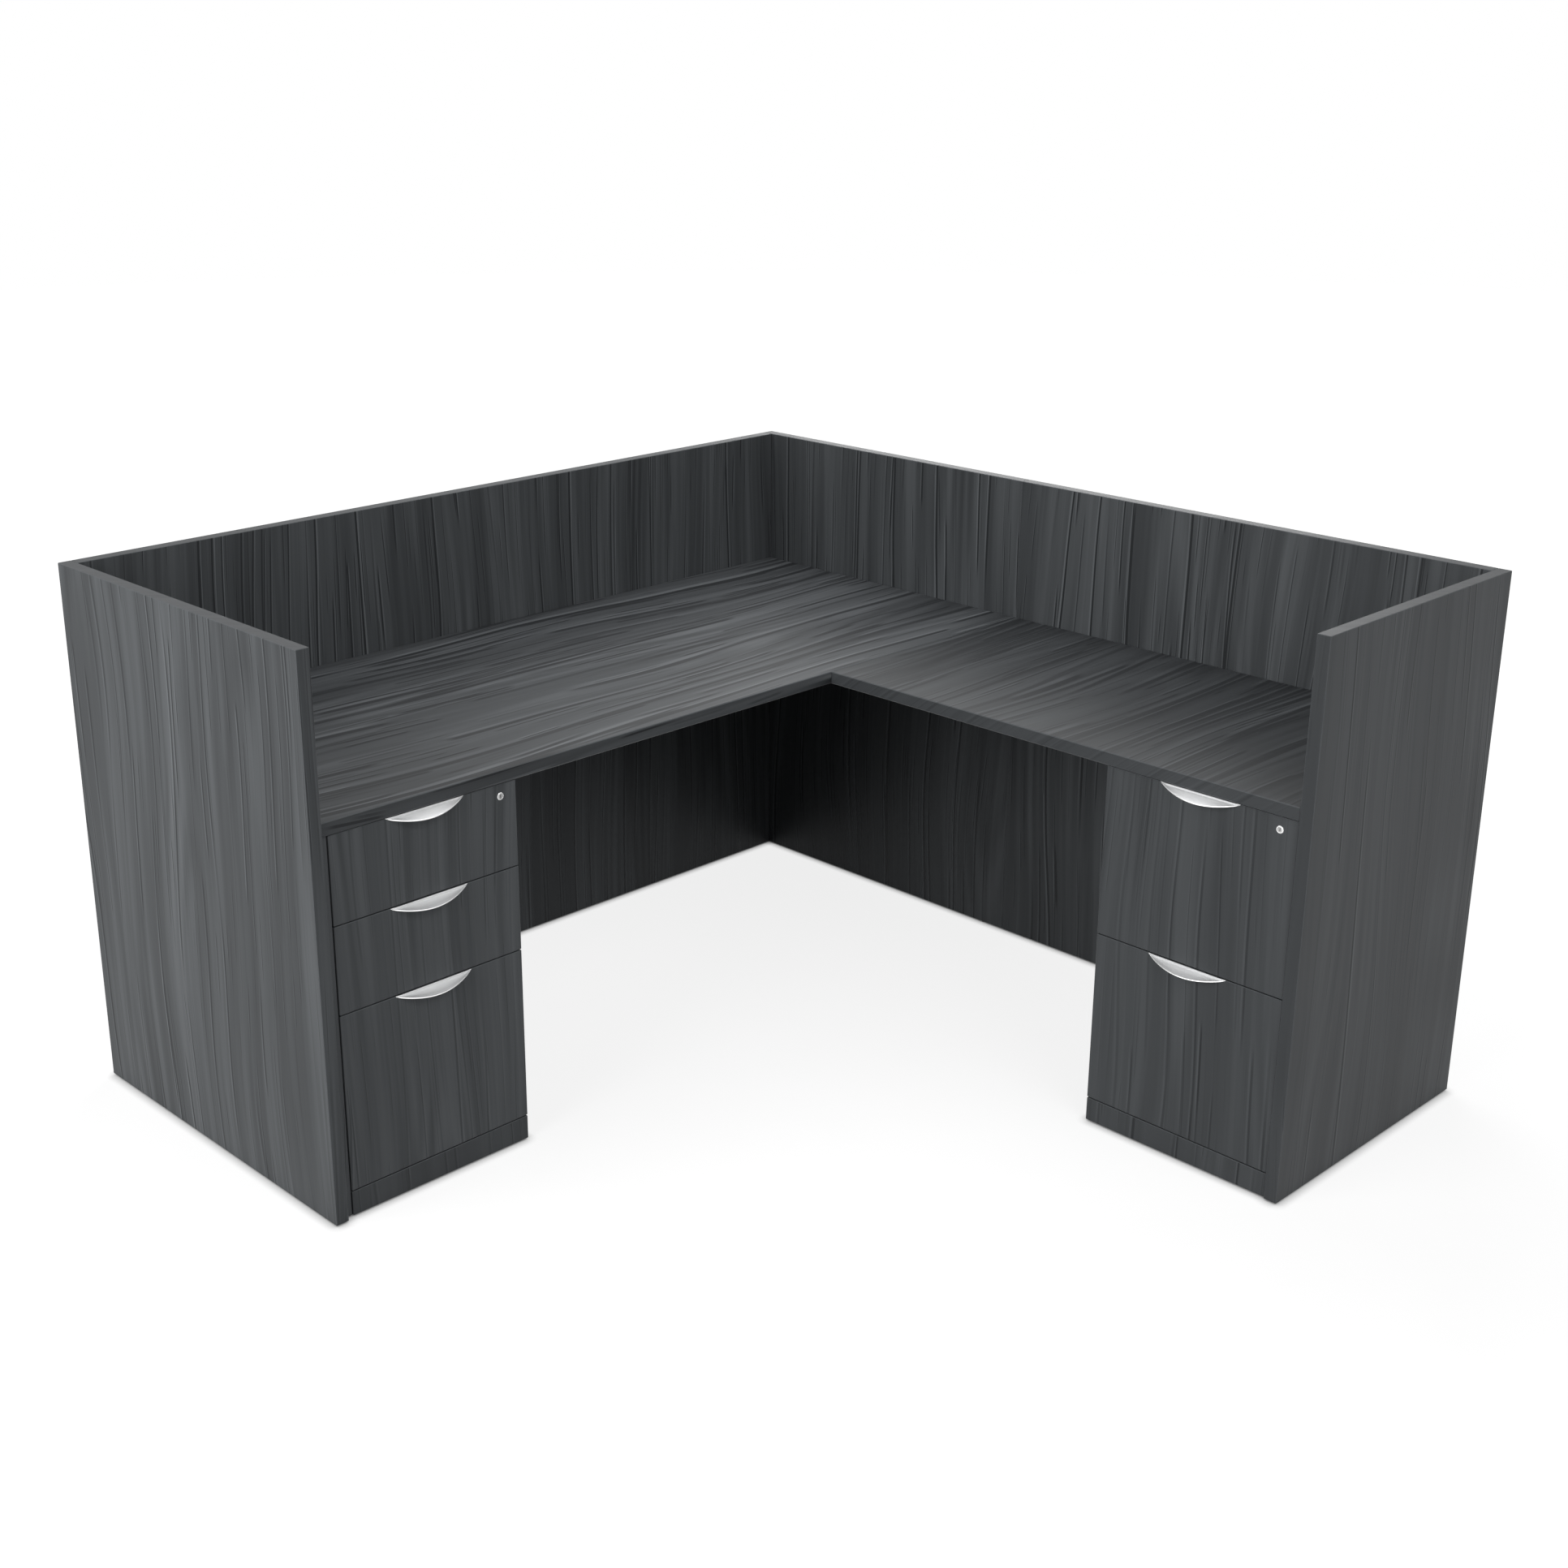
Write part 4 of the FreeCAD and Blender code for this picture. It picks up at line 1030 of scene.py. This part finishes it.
class WORKSTATION_OT_drawer_screws(bpy.types.Operator):
    """Add the screws that hold each drawer's front, pull and runners"""

    bl_idname = "workstation.drawer_screws"
    bl_label = "Screws in the Drawers"

    def execute(self, context):
        sizes = context.scene.workstation_screws
        finish = context.scene.workstation_finish
        head = screw_head(sizes)
        zinc = brushed_metal("zinc_screw", finish.zinc, roughness=0.30, lengthwise=2)
        pull_drop = context.scene.workstation_pulls.flange_height / 2
        for name, side in DRAWERS.items():
            low, high = corners(side, f"{name}_box")
            _, front_high = corners(side, f"{name}_front")
            middle = (low[0] + high[0]) / 2
            inside = low[1] + sizes.box_board
            places = [in_row(side, middle + dx, inside, z)
                      for dx in (-sizes.front_spread, sizes.front_spread)
                      for z in between(low[2], high[2], FRONT_ROWS)]
            # A top rail stands right behind the pulls of the top drawers, so no heads go there
            if "top" not in name:
                places += [in_row(side, middle + dx, front_high[1], front_high[2] - pull_drop)
                           for dx in (-sizes.pull_spread, sizes.pull_spread)]
            shells = stamp(head, places, (0, 1, 0), side)
            runner_low, runner_high = corners(side, f"{name}_runners")
            mid_height = (runner_low[2] + runner_high[2]) / 2
            along = between(runner_low[1], runner_high[1], RUNNER_ROWS)
            for face, outward in ((low[0] - sizes.runner_steel, -1),
                                  (high[0] + sizes.runner_steel, 1)):
                places = [in_row(side, face, y, mid_height) for y in along]
                shells += stamp(head, places, (outward, 0, 0), side)
            build(f"{name}_screws", shells, zinc, name)
        return {"FINISHED"}


class WORKSTATION_OT_stage(bpy.types.Operator):
    """Set the pale floor, the soft lamps, the white surroundings and the camera"""

    bl_idname = "workstation.stage"
    bl_label = "Studio"

    def execute(self, context):
        stage = context.scene.workstation_stage
        self.lay_floor(context, stage)
        for name, (size, place, target) in LAMPS.items():
            self.hang_lamp(context, name, getattr(stage, f"{name}_power"), size, place, target)
        self.light_world(context, stage)
        self.set_camera(context, stage)
        context.scene.view_settings.view_transform = "Standard"
        return {"FINISHED"}

    def lay_floor(self, context, stage):
        """Lay a round floor of polar rings, whose radii grow as the square of their number."""
        radius = np.linspace(0.0, 1.0, FLOOR_RINGS + 1)[1:, None] ** 2 * stage.floor_radius
        angle = round_turn(FLOOR_POINTS)
        x, y = radius * np.cos(angle), radius * np.sin(angle)
        points = np.concatenate([np.stack([x, y, 0 * x], -1).reshape(-1, 3), np.zeros((1, 3))])
        quads = belts(FLOOR_RINGS, FLOOR_POINTS)[:, ::-1]
        middle = fan(0, FLOOR_POINTS, FLOOR_RINGS * FLOOR_POINTS)
        mesh = bpy.data.meshes.new("studio_floor")
        mesh.from_pydata(points.tolist(), [], quads.tolist() + middle.tolist())
        mesh.materials.append(self.floor_finish())
        floor = bpy.data.objects.new("studio_floor", mesh)
        context.scene.collection.objects.link(floor)

    def floor_finish(self):
        """Pale matt floor that keeps the shadow, with white for what is seen directly, less a
        painted contact shadow.
        """
        material, tree, shader, point = new_finish("pale_floor")
        tree.nodes.remove(shader)
        mottle = noise(tree, point, (FLOOR_MOTTLE,) * 3, detail=2.0)
        colour = ramp(tree, mottle, SHADE_PLACES, [(grey,) * 3 for grey in FLOOR_GREYS])
        matt = add_node(tree, "ShaderNodeBsdfDiffuse", {"Color": colour})
        distance = add_node(tree, "ShaderNodeVectorMath", {0: point}, operation="LENGTH")
        far = fade(tree, distance.outputs["Value"], *WHITE_RADII, *WHITE_STRENGTHS)
        near = add_node(tree, "ShaderNodeAmbientOcclusion", {"Distance": CONTACT_SHADOW_REACH},
                        samples=CONTACT_SHADOW_SAMPLES)
        seen = reckon(tree, "MULTIPLY", self.seen_directly(tree), far)
        # Painted contact shadow: the added white fades where the floor is shut in close by
        seen = reckon(tree, "MULTIPLY", seen, near.outputs["AO"])
        white = add_node(tree, "ShaderNodeEmission", {"Color": WHITE, "Strength": seen})
        both = add_node(tree, "ShaderNodeAddShader", {0: matt.outputs[0], 1: white.outputs[0]})
        tree.links.new(both.outputs[0], tree.nodes["Material Output"].inputs["Surface"])
        return material

    def seen_directly(self, tree):
        """1 for what the camera, a reflection or a clear material sees, and 0 for other light."""
        path = add_node(tree, "ShaderNodeLightPath").outputs
        mirror = reckon(tree, "MAXIMUM", path["Is Glossy Ray"], path["Is Transmission Ray"])
        return reckon(tree, "MAXIMUM", path["Is Camera Ray"], mirror)

    def hang_lamp(self, context, name, power, size, place, target):
        """Hang a square soft lamp at a place and aim it at a point."""
        data = bpy.data.lights.new(f"{name}_lamp", "AREA")
        data.energy = power
        data.size = size
        lamp = bpy.data.objects.new(f"{name}_lamp", data)
        lamp.location = place
        aim = Vector(target) - Vector(place)
        lamp.rotation_euler = aim.to_track_quat("-Z", "Y").to_euler()
        context.scene.collection.objects.link(lamp)

    def light_world(self, context, stage):
        """Surround the object with even light, and with white where it is seen directly."""
        world = bpy.data.worlds.new("studio_surroundings")
        world.use_nodes = True
        tree = world.node_tree
        even = tree.nodes["Background"]
        even.inputs["Color"].default_value = opaque(stage.sky_colour)
        even.inputs["Strength"].default_value = stage.sky_strength
        white = add_node(tree, "ShaderNodeBackground", {"Color": WHITE, "Strength": 1.0})
        shaders = {0: self.seen_directly(tree), 1: even.outputs[0], 2: white.outputs[0]}
        both = add_node(tree, "ShaderNodeMixShader", shaders)
        tree.links.new(both.outputs[0], tree.nodes["World Output"].inputs["Surface"])
        context.scene.world = world

    def set_camera(self, context, stage):
        """Stand the camera at the photograph's place, turned by its heading, pitch and roll."""
        data = bpy.data.cameras.new("studio_camera")
        data.sensor_width = SENSOR_WIDTH
        data.lens = stage.camera_lens
        data.shift_x, data.shift_y = stage.camera_shift
        data.clip_start, data.clip_end = SIGHT
        camera = bpy.data.objects.new("studio_camera", data)
        camera.matrix_world = (
            Matrix.Translation(stage.camera_place)
            @ Matrix.Rotation(-stage.camera_heading, 4, "Z")
            @ Matrix.Rotation(math.pi / 2 - stage.camera_pitch, 4, "X")
            @ Matrix.Rotation(stage.camera_roll, 4, "Z"))
        context.scene.collection.objects.link(camera)
        context.scene.camera = camera


STEPS = (WORKSTATION_OT_boards, WORKSTATION_OT_drawer_boxes, WORKSTATION_OT_metal,
         WORKSTATION_OT_pulls, WORKSTATION_OT_top_screws, WORKSTATION_OT_drawer_screws,
         WORKSTATION_OT_stage)

SETTINGS = {
    "workstation_finish": WorkstationFinish,
    "workstation_pulls": WorkstationPulls,
    "workstation_screws": WorkstationScrews,
    "workstation_stage": WorkstationStage,
}


class WORKSTATION_PT_panel(bpy.types.Panel):
    """The workstation's steps and settings"""

    bl_label = "Workstation"
    bl_idname = "WORKSTATION_PT_panel"
    bl_space_type = "VIEW_3D"
    bl_region_type = "UI"
    bl_category = "Workstation"

    def draw(self, context):
        for step in STEPS:
            self.layout.operator(step.bl_idname)
        for name, group in SETTINGS.items():
            box = self.layout.box()
            for setting in group.__annotations__:
                box.prop(getattr(context.scene, name), setting)


CLASSES = (*SETTINGS.values(), *STEPS, WORKSTATION_PT_panel)


def register():
    """Register the classes and hang the settings on the scene."""
    for item in CLASSES:
        bpy.utils.register_class(item)
    for name, group in SETTINGS.items():
        setattr(bpy.types.Scene, name, PointerProperty(type=group))


def unregister():
    """Take the settings and classes away again."""
    for name in SETTINGS:
        delattr(bpy.types.Scene, name)
    for item in reversed(CLASSES):
        bpy.utils.unregister_class(item)


def main():
    """Dress the frame, build the pieces and set the stage."""
    register()
    bpy.ops.workstation.boards()
    bpy.ops.workstation.drawer_boxes()
    bpy.ops.workstation.metal()
    bpy.ops.workstation.pulls()
    bpy.ops.workstation.top_screws()
    bpy.ops.workstation.drawer_screws()
    bpy.ops.workstation.stage()


if __name__ == "__main__":
    main()
